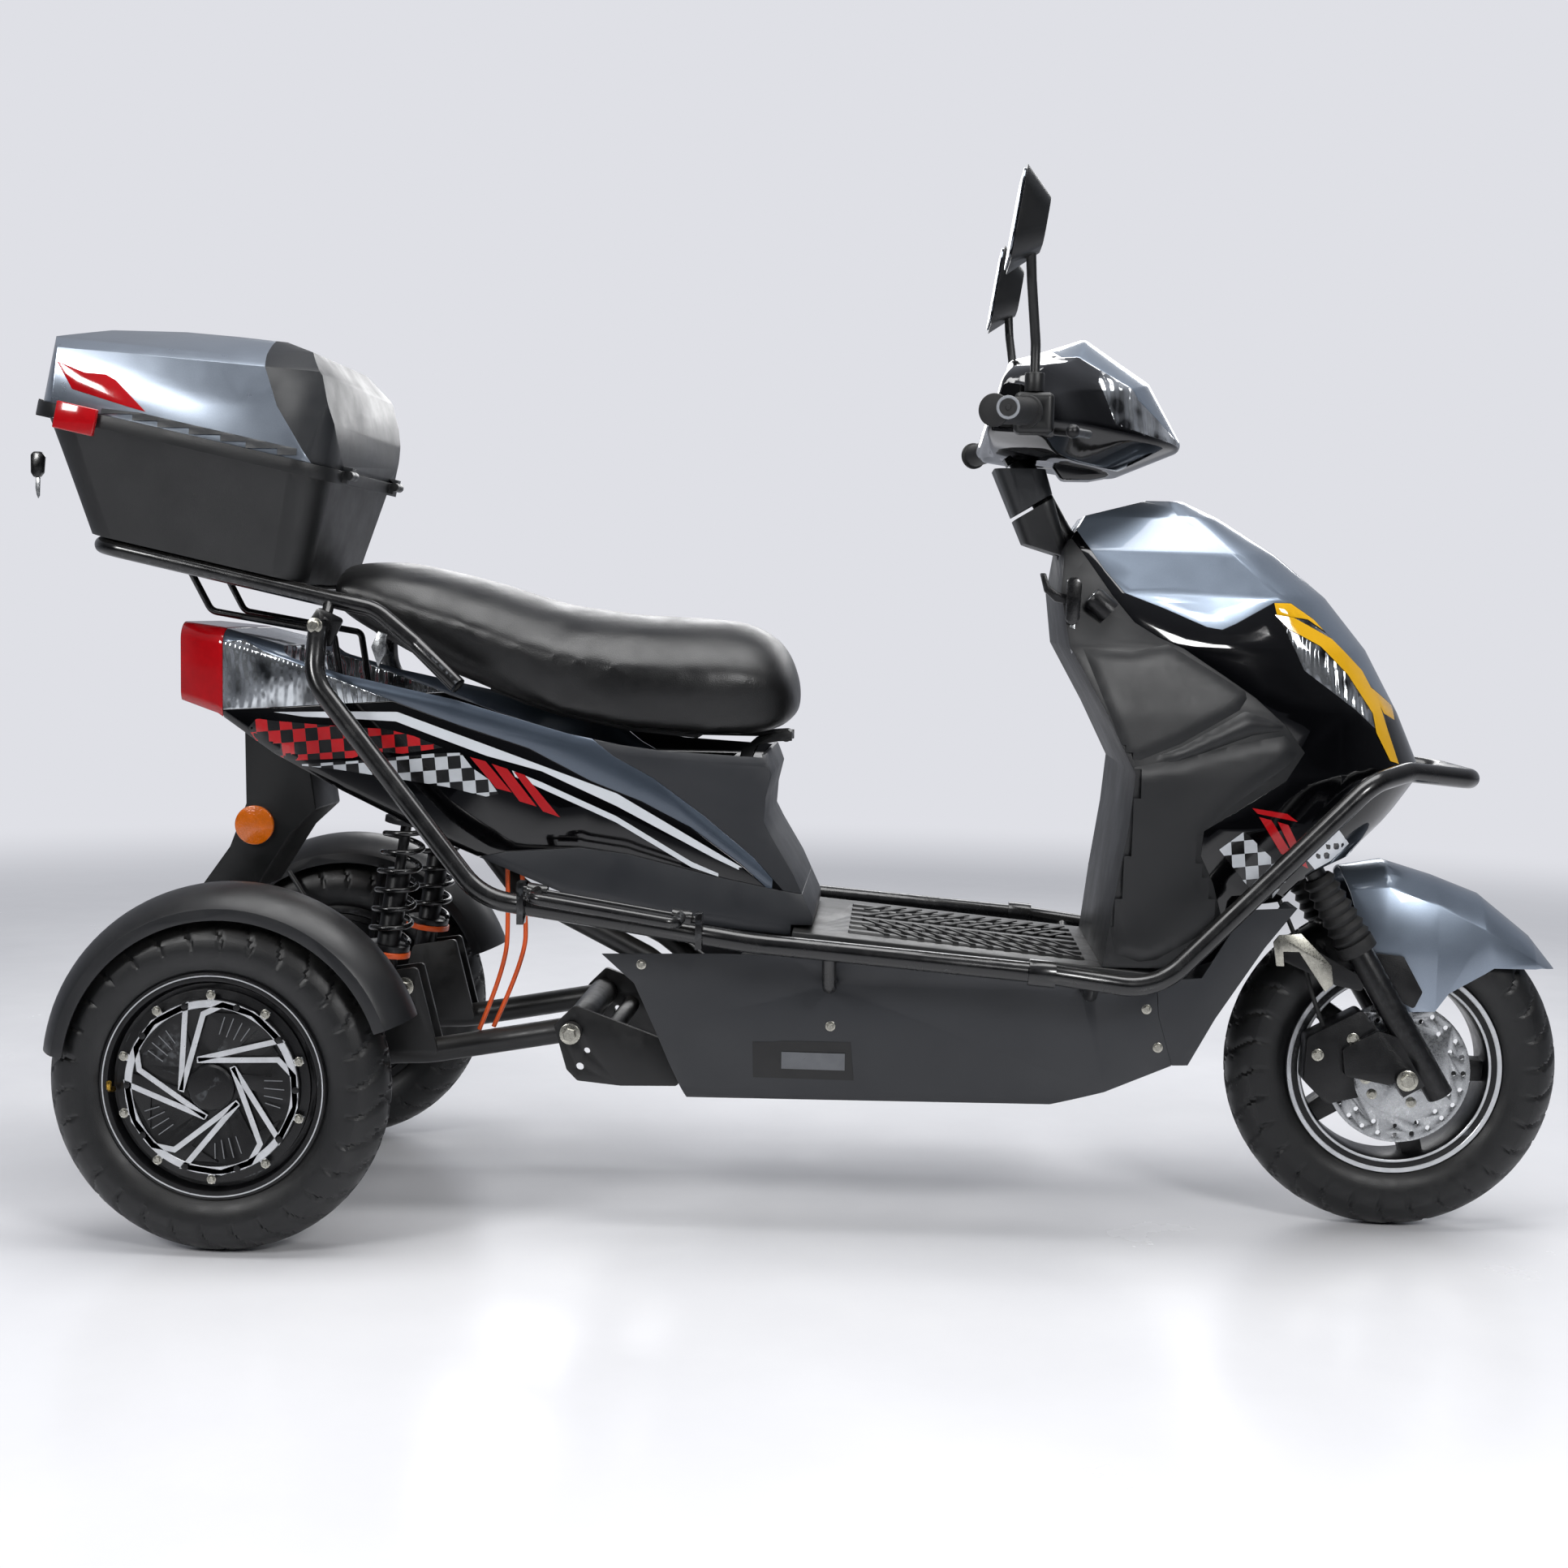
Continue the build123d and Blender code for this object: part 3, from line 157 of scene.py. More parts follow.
def useGroup(tree, name, **values):
    node = tree.nodes.new("ShaderNodeGroup")
    node.node_tree = groups[name]
    setInputs(node, values)
    return node


def mixColour(tree, first, second, mask):
    # first and second are sockets or colours
    node = addNode(tree, "Mix", data_type="RGBA")
    for index, value in ((6, first), (7, second)):
        if isinstance(value, bpy.types.NodeSocket):
            tree.links.new(value, node.inputs[index])
        else:
            node.inputs[index].default_value = value
    tree.links.new(mask, node.inputs[0])
    return node.outputs[2]


def newMaterial(name):
    material = bpy.data.materials.new(name)
    material.use_nodes = True
    tree = material.node_tree
    return material, tree, tree.nodes["Principled BSDF"], tree.links.new


def surface(name, colour, rough=0.45, metal=0.0, shade=0.82, spread=0.08, scale=9.0, grain=None, coat=0.0,
            dust=0.0, wear=0.0, flake=0.0, sheen=0.0):
    # shade is the darker spots' share of the colour, spread how far the roughness varies
    material, tree, shader, link = newMaterial(name)
    base = rgb(colour)
    dark = tuple(c * shade for c in base[:3]) + (1.0,)
    spots = useGroup(tree, "mottle", Scale=scale)
    tint = mixColour(tree, dark, base, spots.outputs["Value"])
    if flake:
        coord = addNode(tree, "TexCoord")
        sparkle = addNode(tree, "TexVoronoi", {"Scale": 2600.0})
        link(coord.outputs["Object"], sparkle.inputs["Vector"])
        light = tuple(min(1.0, c * 1.5 + 0.03) for c in base[:3]) + (1.0,)
        speck = addNode(tree, "Math", {1: flake}, operation="MULTIPLY")
        link(sparkle.outputs["Color"], speck.inputs[0])
        tint = mixColour(tree, tint, light, speck.outputs[0])
    if dust:
        tint = mixColour(tree, tint, rgb("#8f8a82"), useGroup(tree, "dust", Amount=dust).outputs["Mask"])
    if wear:
        tint = mixColour(tree, tint, rgb("#8d9196"), useGroup(tree, "wear", Amount=wear).outputs["Mask"])
    link(tint, shader.inputs["Base Color"])
    low, high = max(0.02, rough - spread), min(1.0, rough + spread)
    patch = useGroup(tree, "mottle", Scale=scale * 3.1, Low=low, High=high)
    link(patch.outputs["Value"], shader.inputs["Roughness"])
    if grain:
        skin = useGroup(tree, "grain", Scale=grain[0], Strength=grain[1])
        link(skin.outputs["Normal"], shader.inputs["Normal"])
    setInputs(shader, {"Metallic": metal, "Coat Weight": coat, "Coat Roughness": 0.04, "Sheen Weight": sheen})
    return material


finishes = {
    "silverPaint": dict(colour="#7c8795", rough=0.34, metal=0.75, shade=0.92, flake=0.3, coat=0.8,
                        spread=0.03),
    # the lid's silver is a lighter, shinier copy of silverPaint: painted light for the lid's top, which faces
    # the lamps
    "lidSilverLit": dict(colour="#8f98a4", rough=0.3, metal=0.82, shade=0.93, flake=0.3, coat=0.8, spread=0.03),
    "slatePaint": dict(colour="#4d5764", rough=0.32, metal=0.75, shade=0.9, flake=0.25, coat=0.8,
                       spread=0.03),
    "glossBlack": dict(colour="#030304", rough=0.07, shade=0.8, coat=0.3, spread=0.03, scale=5.0),
    "mattGrey": dict(colour="#0d0e0f", rough=0.42, shade=0.86, grain=(1500, 0.14), dust=0.04, scale=6.0),
    "hoodGrey": dict(colour="#1a1c1f", rough=0.42, shade=0.9, grain=(1600, 0.1), dust=0.03, scale=5.0),
    "panelGrey": dict(colour="#212327", rough=0.42, shade=0.92, grain=(1600, 0.1), dust=0.03, scale=4.0),
    "shieldGrey": dict(colour="#131416", rough=0.44, shade=0.9, grain=(1600, 0.12), dust=0.03, scale=4.0),
    "fenderBlack": dict(colour="#121316", rough=0.4, shade=0.84, grain=(1300, 0.1), dust=0.07, scale=7.0),
    "fob": dict(colour="#0a0a0b", rough=0.26, shade=0.8, coat=0.3, scale=60.0),
    "paleRing": dict(colour="#8e9196", rough=0.35, shade=0.85, scale=80.0),
    "tubeBlack": dict(colour="#0b0b0c", rough=0.24, shade=0.7, coat=0.3, wear=0.35, dust=0.05, scale=14.0),
    "frameBlack": dict(colour="#0d0d0e", rough=0.4, shade=0.7, wear=0.4, dust=0.14, scale=18.0),
    "castBlack": dict(colour="#0e0e10", rough=0.36, metal=0.25, shade=0.7, grain=(700, 0.2),
                      wear=0.3, scale=20.0),
    "machined": dict(colour="#d6d8db", rough=0.34, metal=0.75, scale=60.0),
    "castAlloy": dict(colour="#8f9194", rough=0.42, metal=0.85, shade=0.75, grain=(900, 0.25), scale=30.0),
    "steel": dict(colour="#a9abad", rough=0.28, metal=1.0, shade=0.8, grain=(400, 0.08), scale=70.0),
    "zinc": dict(colour="#b4b2a8", rough=0.3, metal=1.0, shade=0.7, scale=160.0),
    "brass": dict(colour="#b8923f", rough=0.3, metal=1.0, shade=0.7, scale=90.0),
    "rubber": dict(colour="#121213", rough=0.62, shade=0.8, grain=(1200, 0.2), dust=0.08),
    "tyre": dict(colour="#090a0c", rough=0.44, shade=0.8, grain=(900, 0.16), dust=0.1, scale=16.0),
    "seatSkin": dict(colour="#060607", rough=0.36, shade=0.85, grain=(700, 0.22), scale=7.0, sheen=0.03),
    "redLens": dict(colour="#ad0c14", rough=0.12, shade=0.75, coat=0.6, spread=0.03, scale=30.0),
    "amberLens": dict(colour="#d96a08", rough=0.14, shade=0.75, coat=1.0, grain=(420, 0.5), scale=60.0),
    "yellowTrim": dict(colour="#d9a40c", rough=0.1, shade=0.9, coat=1.0, spread=0.03),
    "orange": dict(colour="#d8551c", rough=0.36, shade=0.85, grain=(900, 0.08), scale=40.0),
    "mirrorFace": dict(colour="#6f747b", rough=0.03, metal=1.0, shade=0.96, spread=0.015),
    "plate": dict(colour="#6d6f72", rough=0.35, metal=0.8, shade=0.85, scale=40.0),
    "whiteStripe": dict(colour="#d3d7dc", rough=0.16, shade=0.9, coat=0.7),
    "redStripe": dict(colour="#a81318", rough=0.16, shade=0.85, coat=0.7),
}
looks = {name: surface(name, **facts) for name, facts in finishes.items()}


def lensLook(name, tint, darkness):
    # clear cover over a bright, fluted reflector
    material, tree, shader, link = newMaterial(name)
    coord = addNode(tree, "TexCoord")
    wave = addNode(tree, "TexWave", {"Scale": 26.0, "Distortion": 3.5})
    cells = addNode(tree, "TexVoronoi", {"Scale": 34.0}, feature="SMOOTH_F1")
    link(coord.outputs["Object"], wave.inputs["Vector"])
    link(coord.outputs["Object"], cells.inputs["Vector"])
    ramp = addNode(tree, "ValToRGB")
    for stop, place, colour in zip(ramp.color_ramp.elements, (0.18, 0.6), (darkness, tint)):
        stop.position = place
        stop.color = rgb(colour)
    link(cells.outputs["Distance"], ramp.inputs["Fac"])
    link(ramp.outputs["Color"], shader.inputs["Base Color"])
    bump = addNode(tree, "Bump", {"Strength": 0.5, "Distance": 0.004})
    link(wave.outputs["Fac"], bump.inputs["Height"])
    link(bump.outputs["Normal"], shader.inputs["Normal"])
    rough = useGroup(tree, "mottle", Scale=60.0, Low=0.06, High=0.2)
    link(rough.outputs["Value"], shader.inputs["Roughness"])
    setInputs(shader, {"Metallic": 0.85, "Coat Weight": 1.0, "Coat Roughness": 0.02})
    return material


def chequerLook(name, first, second, size=0.0165, turn=0.1):
    material, tree, shader, link = newMaterial(name)
    coord = addNode(tree, "TexCoord")
    place = addNode(tree, "Mapping", {"Rotation": (0, turn, 0), "Scale": (1, 0, 1)})
    check = addNode(tree, "TexChecker", {"Color1": rgb(first), "Color2": rgb(second), "Scale": 1.0 / size})
    link(coord.outputs["Object"], place.inputs["Vector"])
    link(place.outputs["Vector"], check.inputs["Vector"])
    spots = useGroup(tree, "mottle", Scale=80.0, Low=0.0, High=0.12)
    tint = mixColour(tree, check.outputs["Color"], rgb("#555555"), spots.outputs["Value"])
    link(tint, shader.inputs["Base Color"])
    rough = useGroup(tree, "mottle", Scale=30.0, Low=0.12, High=0.24)
    link(rough.outputs["Value"], shader.inputs["Roughness"])
    setInputs(shader, {"Coat Weight": 0.7})
    return material


looks["lens"] = lensLook("lens", "#cfd4d8", "#3c3f42")
looks["headLens"] = lensLook("headLens", "#c4c8cc", "#17181a")
looks["redChequer"] = chequerLook("redChequer", "#b0161b", "#070708")
looks["whiteChequer"] = chequerLook("whiteChequer", "#b9bdc2", "#0b0b0c")
print("materials made:", len(looks))


# mesh helpers
def newObject(name, data):
    obj = bpy.data.objects.new(name, data)
    bpy.context.collection.objects.link(obj)
    return obj


def addMesh(name, vertices, faces, look, smooth):
    mesh = bpy.data.meshes.new(name)
    mesh.from_pydata([tuple(v) for v in vertices], [], faces)
    mesh.update()
    return finishMesh(name, mesh, look, smooth)


def finishMesh(name, mesh, look, smooth):
    # smooth is the angle in degrees from which edges stay sharp, or 0 for flat faces
    obj = newObject(name, mesh)
    mesh.materials.clear()
    mesh.materials.append(looks[look])
    if smooth:
        mesh.shade_smooth()
        mesh.set_sharp_from_angle(angle=math.radians(smooth))
    return obj


def bake(obj):
    # the modifiers' result becomes the mesh
    graph = bpy.context.evaluated_depsgraph_get()
    mesh = bpy.data.meshes.new_from_object(obj.evaluated_get(graph))
    obj.modifiers.clear()
    obj.data = mesh
    return obj


def roundEdges(obj, width, angle):
    # edges sharper than the angle in degrees
    edge = obj.modifiers.new("edge", "BEVEL")
    edge.width = width
    edge.segments = 2
    edge.limit_method = "ANGLE"
    edge.angle_limit = math.radians(angle)
    bake(obj)


def takePlace(obj, node):
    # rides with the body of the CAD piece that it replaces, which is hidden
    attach(obj, bodyOf[node])
    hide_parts(node)


def dress(node, look, bevel):
    # a copy of the CAD piece with rounded edges, in its finish
    source = nodes[node]
    mesh = source.data.copy()
    work = bmesh.new()
    work.from_mesh(mesh)
    bmesh.ops.remove_doubles(work, verts=work.verts, dist=2e-5)
    bmesh.ops.dissolve_limit(work, angle_limit=math.radians(0.6), verts=work.verts, edges=work.edges)
    work.to_mesh(mesh)
    work.free()
    obj = finishMesh(node + "Look", mesh, look, 0)
    obj.matrix_world = source.matrix_world.copy()
    if bevel:
        roundEdges(obj, bevel, 34)
    obj.data.shade_smooth()
    obj.data.set_sharp_from_angle(angle=math.radians(34))
    takePlace(obj, node)


def add(obj, body):
    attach(obj, body)
    return obj


def revolve(name, profile, centre, look, steps=128):
    # profile of (radius, y) in millimetres about an axle
    vertices, faces = [], []
    count = len(profile)
    for i in range(steps):
        a = 2 * math.pi * i / steps
        for r, y in profile:
            vertices.append(at(centre[0] + r * math.cos(a), centre[1] + y, centre[2] + r * math.sin(a)))
    for i in range(steps):
        j = (i + 1) % steps
        for k in range(count - 1):
            faces.append((i * count + k, j * count + k, j * count + k + 1, i * count + k + 1))
    return addMesh(name, vertices, faces, look, 30)


def joined(name, pieces):
    # one object from several meshes, materials kept
    mesh = bpy.data.meshes.new(name)
    work = bmesh.new()
    looksUsed = []
    for piece in pieces:
        part = piece.data
        if part.materials[0] not in looksUsed:
            looksUsed.append(part.materials[0])
        index = looksUsed.index(part.materials[0])
        part.transform(piece.matrix_world)
        start = len(work.faces)
        work.from_mesh(part)
        work.faces.ensure_lookup_table()
        for face in work.faces[start:]:
            face.material_index = index
    work.to_mesh(mesh)
    work.free()
    obj = newObject(name, mesh)
    for look in looksUsed:
        mesh.materials.append(look)
    for piece in pieces:
        bpy.data.objects.remove(piece)
    mesh.shade_smooth()
    mesh.set_sharp_from_angle(angle=math.radians(32))
    return obj


def prism(name, outline, low, high, look, bevel):
    # an outline in the side view, carried across the vehicle from low to high, in millimetres
    vertices = [at(x, low, z) for x, z in outline] + [at(x, high, z) for x, z in outline]
    n = len(outline)
    faces = [tuple(range(n)), tuple(range(2 * n - 1, n - 1, -1))]
    faces += [(i, i + n, (i + 1) % n + n, (i + 1) % n) for i in range(n)]
    obj = addMesh(name, vertices, faces, look, 0)
    work = bmesh.new()
    work.from_mesh(obj.data)
    bmesh.ops.recalc_face_normals(work, faces=work.faces)
    work.to_mesh(obj.data)
    work.free()
    roundEdges(obj, bevel, 30)
    obj.data.shade_smooth()
    obj.data.set_sharp_from_angle(angle=math.radians(32))
    return obj


def boltMesh(place, axis, radius):
    # hexagon head with a washer, on a point in the row frame
    axis = Vector(axis).normalized()
    side = axis.orthogonal().normalized()
    other = axis.cross(side)
    vertices, faces = [], []

    def ring(r, lift, count):
        first = len(vertices)
        for i in range(count):
            a = 2 * math.pi * i / count
            vertices.append(place + axis * lift + side * (r * math.cos(a)) + other * (r * math.sin(a)))
        return list(range(first, first + count))

    def band(a, b):
        n = len(a)
        for i in range(n):
            faces.append((a[i], a[(i + 1) % n], b[(i + 1) % n], b[i]))

    low = ring(radius * 1.5, -0.0002, 20)
    top = ring(radius * 1.5, radius * 0.18, 20)
    inner = ring(radius * 1.38, radius * 0.24, 20)
    band(low, top)
    band(top, inner)
    faces.append(tuple(inner))
    base = ring(radius, radius * 0.1, 6)
    shoulder = ring(radius, radius * 0.7, 6)
    crown = ring(radius * 0.84, radius * 0.82, 6)
    band(base, shoulder)
    band(shoulder, crown)
    faces.append(tuple(crown))
    return addMesh("bolt", vertices, faces, "zinc", 25)


def newCurve(name, radius, corners, steps):
    curve = bpy.data.curves.new(name, "CURVE")
    curve.dimensions = "3D"
    curve.bevel_depth = radius
    curve.bevel_resolution = corners
    curve.resolution_u = steps
    curve.use_fill_caps = True
    return curve


def tubeMesh(name, points, radius, look):
    # a smooth pipe through points in millimetres
    curve = newCurve(name, radius / 1000, 3, 8)
    line = curve.splines.new("BEZIER")
    line.bezier_points.add(len(points) - 1)
    for point, spot in zip(line.bezier_points, points):
        point.co = at(*spot)
        point.handle_left_type = point.handle_right_type = "AUTO"
    holder = newObject(name, curve)
    graph = bpy.context.evaluated_depsgraph_get()
    mesh = bpy.data.meshes.new_from_object(holder.evaluated_get(graph))
    bpy.data.objects.remove(holder)
    return finishMesh(name, mesh, look, 40)


trees = {}


def surfaceTree(node):
    if node not in trees:
        work = bmesh.new()
        work.from_mesh(nodes[node].data)
        work.transform(nodes[node].matrix_world)
        trees[node] = BVHTree.FromBMesh(work)
        work.free()
    return trees[node]


def castOn(names, start, way):
    # nearest of several CAD pieces along a ray
    hits = [surfaceTree(name).ray_cast(start, way) for name in names]
    hits = [hit for hit in hits if hit[0] is not None]
    return min(hits, key=lambda hit: hit[3])[0] if hits else None


def onSurface(node, x, z, side):
    # point of the CAD piece seen from the side
    return surfaceTree(node).ray_cast(at(x, side * 400, z), Vector((0, -side, 0)))[0]


def decal(name, outline, node, side, look, lift, step=0.012, others=()):
    # a thin film laid on a panel, from its outline in the side view, in millimetres; lift and step in metres
    work = bmesh.new()
    ring = [work.verts.new(at(x, 0, z)) for x, z in outline]
    work.faces.new(ring)
    low = Vector((min(v.co.x for v in ring), 0, min(v.co.z for v in ring)))
    high = Vector((max(v.co.x for v in ring), 0, max(v.co.z for v in ring)))
    for way in (Vector((1, 0, 0)), Vector((0, 0, 1))):
        spot = low.dot(way) + step
        while spot < high.dot(way):
            every = work.verts[:] + work.edges[:] + work.faces[:]
            bmesh.ops.bisect_plane(work, geom=every, plane_co=way * spot, plane_no=way)
            spot += step
    lost = []
    for v in work.verts:
        hit = castOn((node,) + others, Vector((v.co.x, side * 0.6, v.co.z)), Vector((0, -side, 0)))
        if hit is None:
            lost.append(v)
        else:
            v.co = hit + Vector((0, side * lift, 0))
    bmesh.ops.delete(work, geom=lost, context="VERTS")
    bmesh.ops.recalc_face_normals(work, faces=work.faces)
    mesh = bpy.data.meshes.new(name)
    work.to_mesh(mesh)
    work.free()
    for polygon in mesh.polygons:
        if polygon.normal.y * side < 0:
            polygon.flip()
    obj = finishMesh(name, mesh, look, 60)
    return add(obj, bodyOf[node])


# CAD pieces in their finish, with the width of their rounded edges
dressed = {
    "main_frame": ("frameBlack", 0.001), "swing_arm": ("frameBlack", 0.0012),
    "shock_bodies": ("castBlack", 0.0008), "shock_springs": ("tubeBlack", 0.0),
    "spring_seats": ("orange", 0.0008), "rear_fenders": ("fenderBlack", 0.0012),
    "footboard": ("mattGrey", 0.0015), "belly_panels": ("panelGrey", 0.0015),
    "battery_block": ("mattGrey", 0.002), "guard_tubes_rear": ("tubeBlack", 0.0008),
    "guard_loop_front": ("tubeBlack", 0.0008), "rear_rack": ("tubeBlack", 0.0008),
    "tail_lamp_red": ("redLens", 0.002), "tail_lens": ("lens", 0.0015),
    "tail_upper": ("slatePaint", 0.0014), "tail_lower": ("glossBlack", 0.0014),
    "under_seat_panel": ("panelGrey", 0.0014), "side_skirts": ("panelGrey", 0.0014),
    "seat_pan": ("mattGrey", 0.001), "seat_tray": ("mattGrey", 0.001),
    "fairing_silver": ("silverPaint", 0.0014), "fairing_black": ("glossBlack", 0.0014),
    "headlamp": ("headLens", 0.0012), "headlamp_trim": ("yellowTrim", 0.0008),
    "leg_shield": ("shieldGrey", 0.0016), "plate_holder": ("mattGrey", 0.002),
    "side_reflectors": ("amberLens", 0.0015), "box_tub": ("mattGrey", 0.0016),
    "box_latches": ("redLens", 0.0016), "box_key": ("fob", 0.0006), "fork": ("castBlack", 0.0012),
    "fork_boots": ("rubber", 0.0006), "brake_caliper": ("castBlack", 0.0016),
    "front_mudguard": ("silverPaint", 0.0012), "handlebar": ("tubeBlack", 0.001),
    "grips": ("rubber", 0.0012), "cowl_hump": ("silverPaint", 0.0016), "cowl_black": ("glossBlack", 0.0016),
    "cowl_lamps": ("headLens", 0.0012), "column_cover": ("hoodGrey", 0.0016),
    "brake_levers": ("castBlack", 0.001), "switch_pods": ("mattGrey", 0.0008),
    "mirrors": ("mattGrey", 0.0014), "mirror_glass": ("mirrorFace", 0.0006),
    "front_rim": ("castBlack", 0.0014), "brake_disc": ("steel", 0.0005),
    "rear_hub_motor_right": ("castBlack", 0.001), "rear_hub_motor_left": ("castBlack", 0.001),
    # the lid takes the lighter copy of the silver paint, painted light for its top
    "lid_silver": ("lidSilverLit", 0.0018), "lid_hood": ("hoodGrey", 0.0016),
    "lid_reflectors": ("redLens", 0.0006), "foot_rest_right": ("tubeBlack", 0.0008),
    "foot_rest_left": ("tubeBlack", 0.0008),
}
for node, (look, width) in dressed.items():
    dress(node, look, width)
print("dressed:", len(dressed))


# tyres, in millimetres; the tread reaches zone in from the crown
tyreShape = {
    "wall": [(32.7, 133.6), (32.8, 139.8), (37.0, 144.5), (40.6, 150.5), (43.4, 158.0), (44.8, 167.0)],
    "halfWidth": 43.0, "rise": 30.0, "crown": 14, "steps": 396, "zone": 39, "depth": 2.8,
    "pitches": 30, "lag": 0.42, "lean": 0.021,   # cross bars; the left half's come later by lag
    "bars": (7.0, 44.7), "barShare": 0.12,
    "wave": 5.0, "line": (3.0, 5.4), "blocks": (20.0, 33.0), "cut": (0.5, 0.6),
}


def tyreProfile(outer):
    # (across, radius) from one bead over the crown to the other
    half = tyreShape["wall"] + [(44.6, outer - 38)]
    width, rise, count = tyreShape["halfWidth"], tyreShape["rise"], tyreShape["crown"]
    radius = (width ** 2 + rise ** 2) / (2 * rise)
    for i in range(count + 1):
        y = width * math.cos(math.pi / 2 * i / count)
        half.append((y, outer - radius + math.sqrt(radius ** 2 - y ** 2)))
    return half + [(-y, r) for y, r in reversed(half[:-1])]


def groove(angle, y):
    # how deep the tread is cut at this place, 0 to 1
    reach = abs(y)
    bars, line, blocks, cut = (tyreShape[label] for label in ("bars", "line", "blocks", "cut"))
    share = (angle / (2 * math.pi) * tyreShape["pitches"]) % 1.0
    slant = (share + (tyreShape["lag"] if y > 0 else 0.0) + reach * tyreShape["lean"]) % 1.0
    if bars[0] < reach < bars[1] and slant < tyreShape["barShare"]:
        return 1.0
    if line[0] < abs(y - tyreShape["wave"] * math.sin(angle * tyreShape["pitches"])) < line[1]:
        return 1.0
    if blocks[0] < reach < blocks[1] and cut[0] < (slant + reach * 0.01) % 1.0 < cut[1]:
        return 0.8
    return 0.0


def makeTyre(node, centre):
    outer = centre[2]
    profile = tyreProfile(outer)
    steps = tyreShape["steps"]
    vertices, faces = [], []
    for i in range(steps):
        a = 2 * math.pi * i / steps
        for y, r in profile:
            treaded = r > outer - tyreShape["zone"]
            cut = groove(a, y) * tyreShape["depth"] if treaded else 0.0
            if 150 < r < 172:   # rings on the side wall
                cut = 0.5 if math.sin(r * 1.6) > 0.75 else 0.0
            if treaded and abs(y) > 38:
                y -= math.copysign(cut * 0.45, y)
            r -= cut
            vertices.append(at(centre[0] + r * math.cos(a), centre[1] + y, centre[2] + r * math.sin(a)))
    n = len(profile)
    for i in range(steps):
        j = (i + 1) % steps
        for k in range(n):
            m = (k + 1) % n
            faces.append((i * n + k, i * n + m, j * n + m, j * n + k))
    takePlace(addMesh(node + "Tread", vertices, faces, "tyre", 28), node)


frontAxle = (1475, 0, 215)
makeTyre("front_tyre", frontAxle)
makeTyre("rear_tyre_right", (0, -290, 210))
makeTyre("rear_tyre_left", (0, 290, 210))
print("tyres done")


# wheel faces, in millimetres about the axle; the rings are (radius, distance from the wheel's middle)
hubShape = {
    "hooks": 5, "width": 6.6, "face": 39.2, "rise": 0.9,
    "hook": [(-35.5, -10.5), (-20.3, 87.8), (2.1, 102.4), (39.7, 97.2), (76.3, 70.0), (-19.9, 31.8)],
    "hatch": [((2, 66), (6, 88)), ((11, 64), (17, 88)), ((20, 62), (28, 84)), ((29, 62), (38, 79))],
    "seats": 10, "seatRadius": 113.0, "seat": (36.2, 39.4), "nut": 39.0,
    "ring": [(97.4, 39.2), (98, 40.1), (106.4, 40.1), (107, 39.2)],
    "lip": [(134.4, 35.9), (134.8, 36.6), (136.0, 36.6), (136.4, 35.9)],
    "cap": [(0.01, 45.4), (19, 45.2), (26, 43.6), (28.6, 41), (29, 39)],
    "valve": [(-122, 34, 203), (-124, 42, 205), (-123, 47, 214)],
}


def ribbon(name, line, width, low, high, look):
    # a flat strip with mitred corners along a line in the wheel's plane, from low to high along the axle
    left, right = [], []
    for i, spot in enumerate(line):
        here = Vector(spot)
        before = (here - Vector(line[i - 1])).normalized() if i else (Vector(line[1]) - here).normalized()
        after = (Vector(line[i + 1]) - here).normalized() if i + 1 < len(line) else before
        across = Vector((-before.y - after.y, before.x + after.x)).normalized()
        reach = width / 2 / max(0.35, across.dot(Vector((-before.y, before.x))))
        left.append(here + across * reach)
        right.append(here - across * reach)
    outline = left + right[::-1]
    n = len(line)
    vertices = [at(p.x, high, p.y) for p in outline] + [at(p.x, low, p.y) for p in outline]
    faces = [(i, i + 1, 2 * n - 2 - i, 2 * n - 1 - i) for i in range(n - 1)]
    faces += [(i, i + 2 * n, (i + 1) % (2 * n) + 2 * n, (i + 1) % (2 * n)) for i in range(2 * n)]
    return addMesh(name, vertices, faces, look, 20)


def sided(profile, side):
    return [(r, side * y) for r, y in profile]


def hubFace(side):
    centre = (0, side * 290, 210)
    face = centre[1] + side * hubShape["face"]
    top = face + side * hubShape["rise"]
    pieces = []
    for label, look, steps in (("ring", "machined", 128), ("lip", "machined", 128), ("cap", "castBlack", 64)):
        pieces.append(revolve(label, sided(hubShape[label], side), centre, look, steps))

    def turned(points, a):
        # turned about the axle
        return [(centre[0] + x * math.cos(a) + z * math.sin(a), centre[2] - x * math.sin(a) + z * math.cos(a))
                for x, z in points]

    for i in range(hubShape["hooks"]):
        a = 2 * math.pi * (i + 0.1) / hubShape["hooks"]
        pieces.append(ribbon("hook", turned(hubShape["hook"], a), hubShape["width"], face, top, "machined"))
        for pair in hubShape["hatch"]:
            pieces.append(ribbon("hatch", turned(pair, a), 1.1, face, top - side * 0.4, "castAlloy"))
    r = hubShape["seatRadius"]
    low, high = (centre[1] + side * y for y in hubShape["seat"])
    for i in range(hubShape["seats"]):
        a = 2 * math.pi * (i + 0.5) / hubShape["seats"]
        tab = [(centre[0] + reach * math.cos(a), centre[2] + reach * math.sin(a)) for reach in (r - 8, r + 5)]
        pieces.append(ribbon("tab", tab, 8.0, low, high, "machined"))
        spot = at(centre[0] + r * math.cos(a), centre[1] + side * hubShape["nut"], centre[2] + r * math.sin(a))
        pieces.append(boltMesh(spot, (0, side, 0), 0.0038))
    valve = [(x, centre[1] + side * y, z) for x, y, z in hubShape["valve"]]
    pieces.append(tubeMesh("valve", valve, 3.4, "brass"))
    body, name = ("rear_wheel_right", "hubFaceRight") if side < 0 else ("rear_wheel_left", "hubFaceLeft")
    add(joined(name, pieces), body)


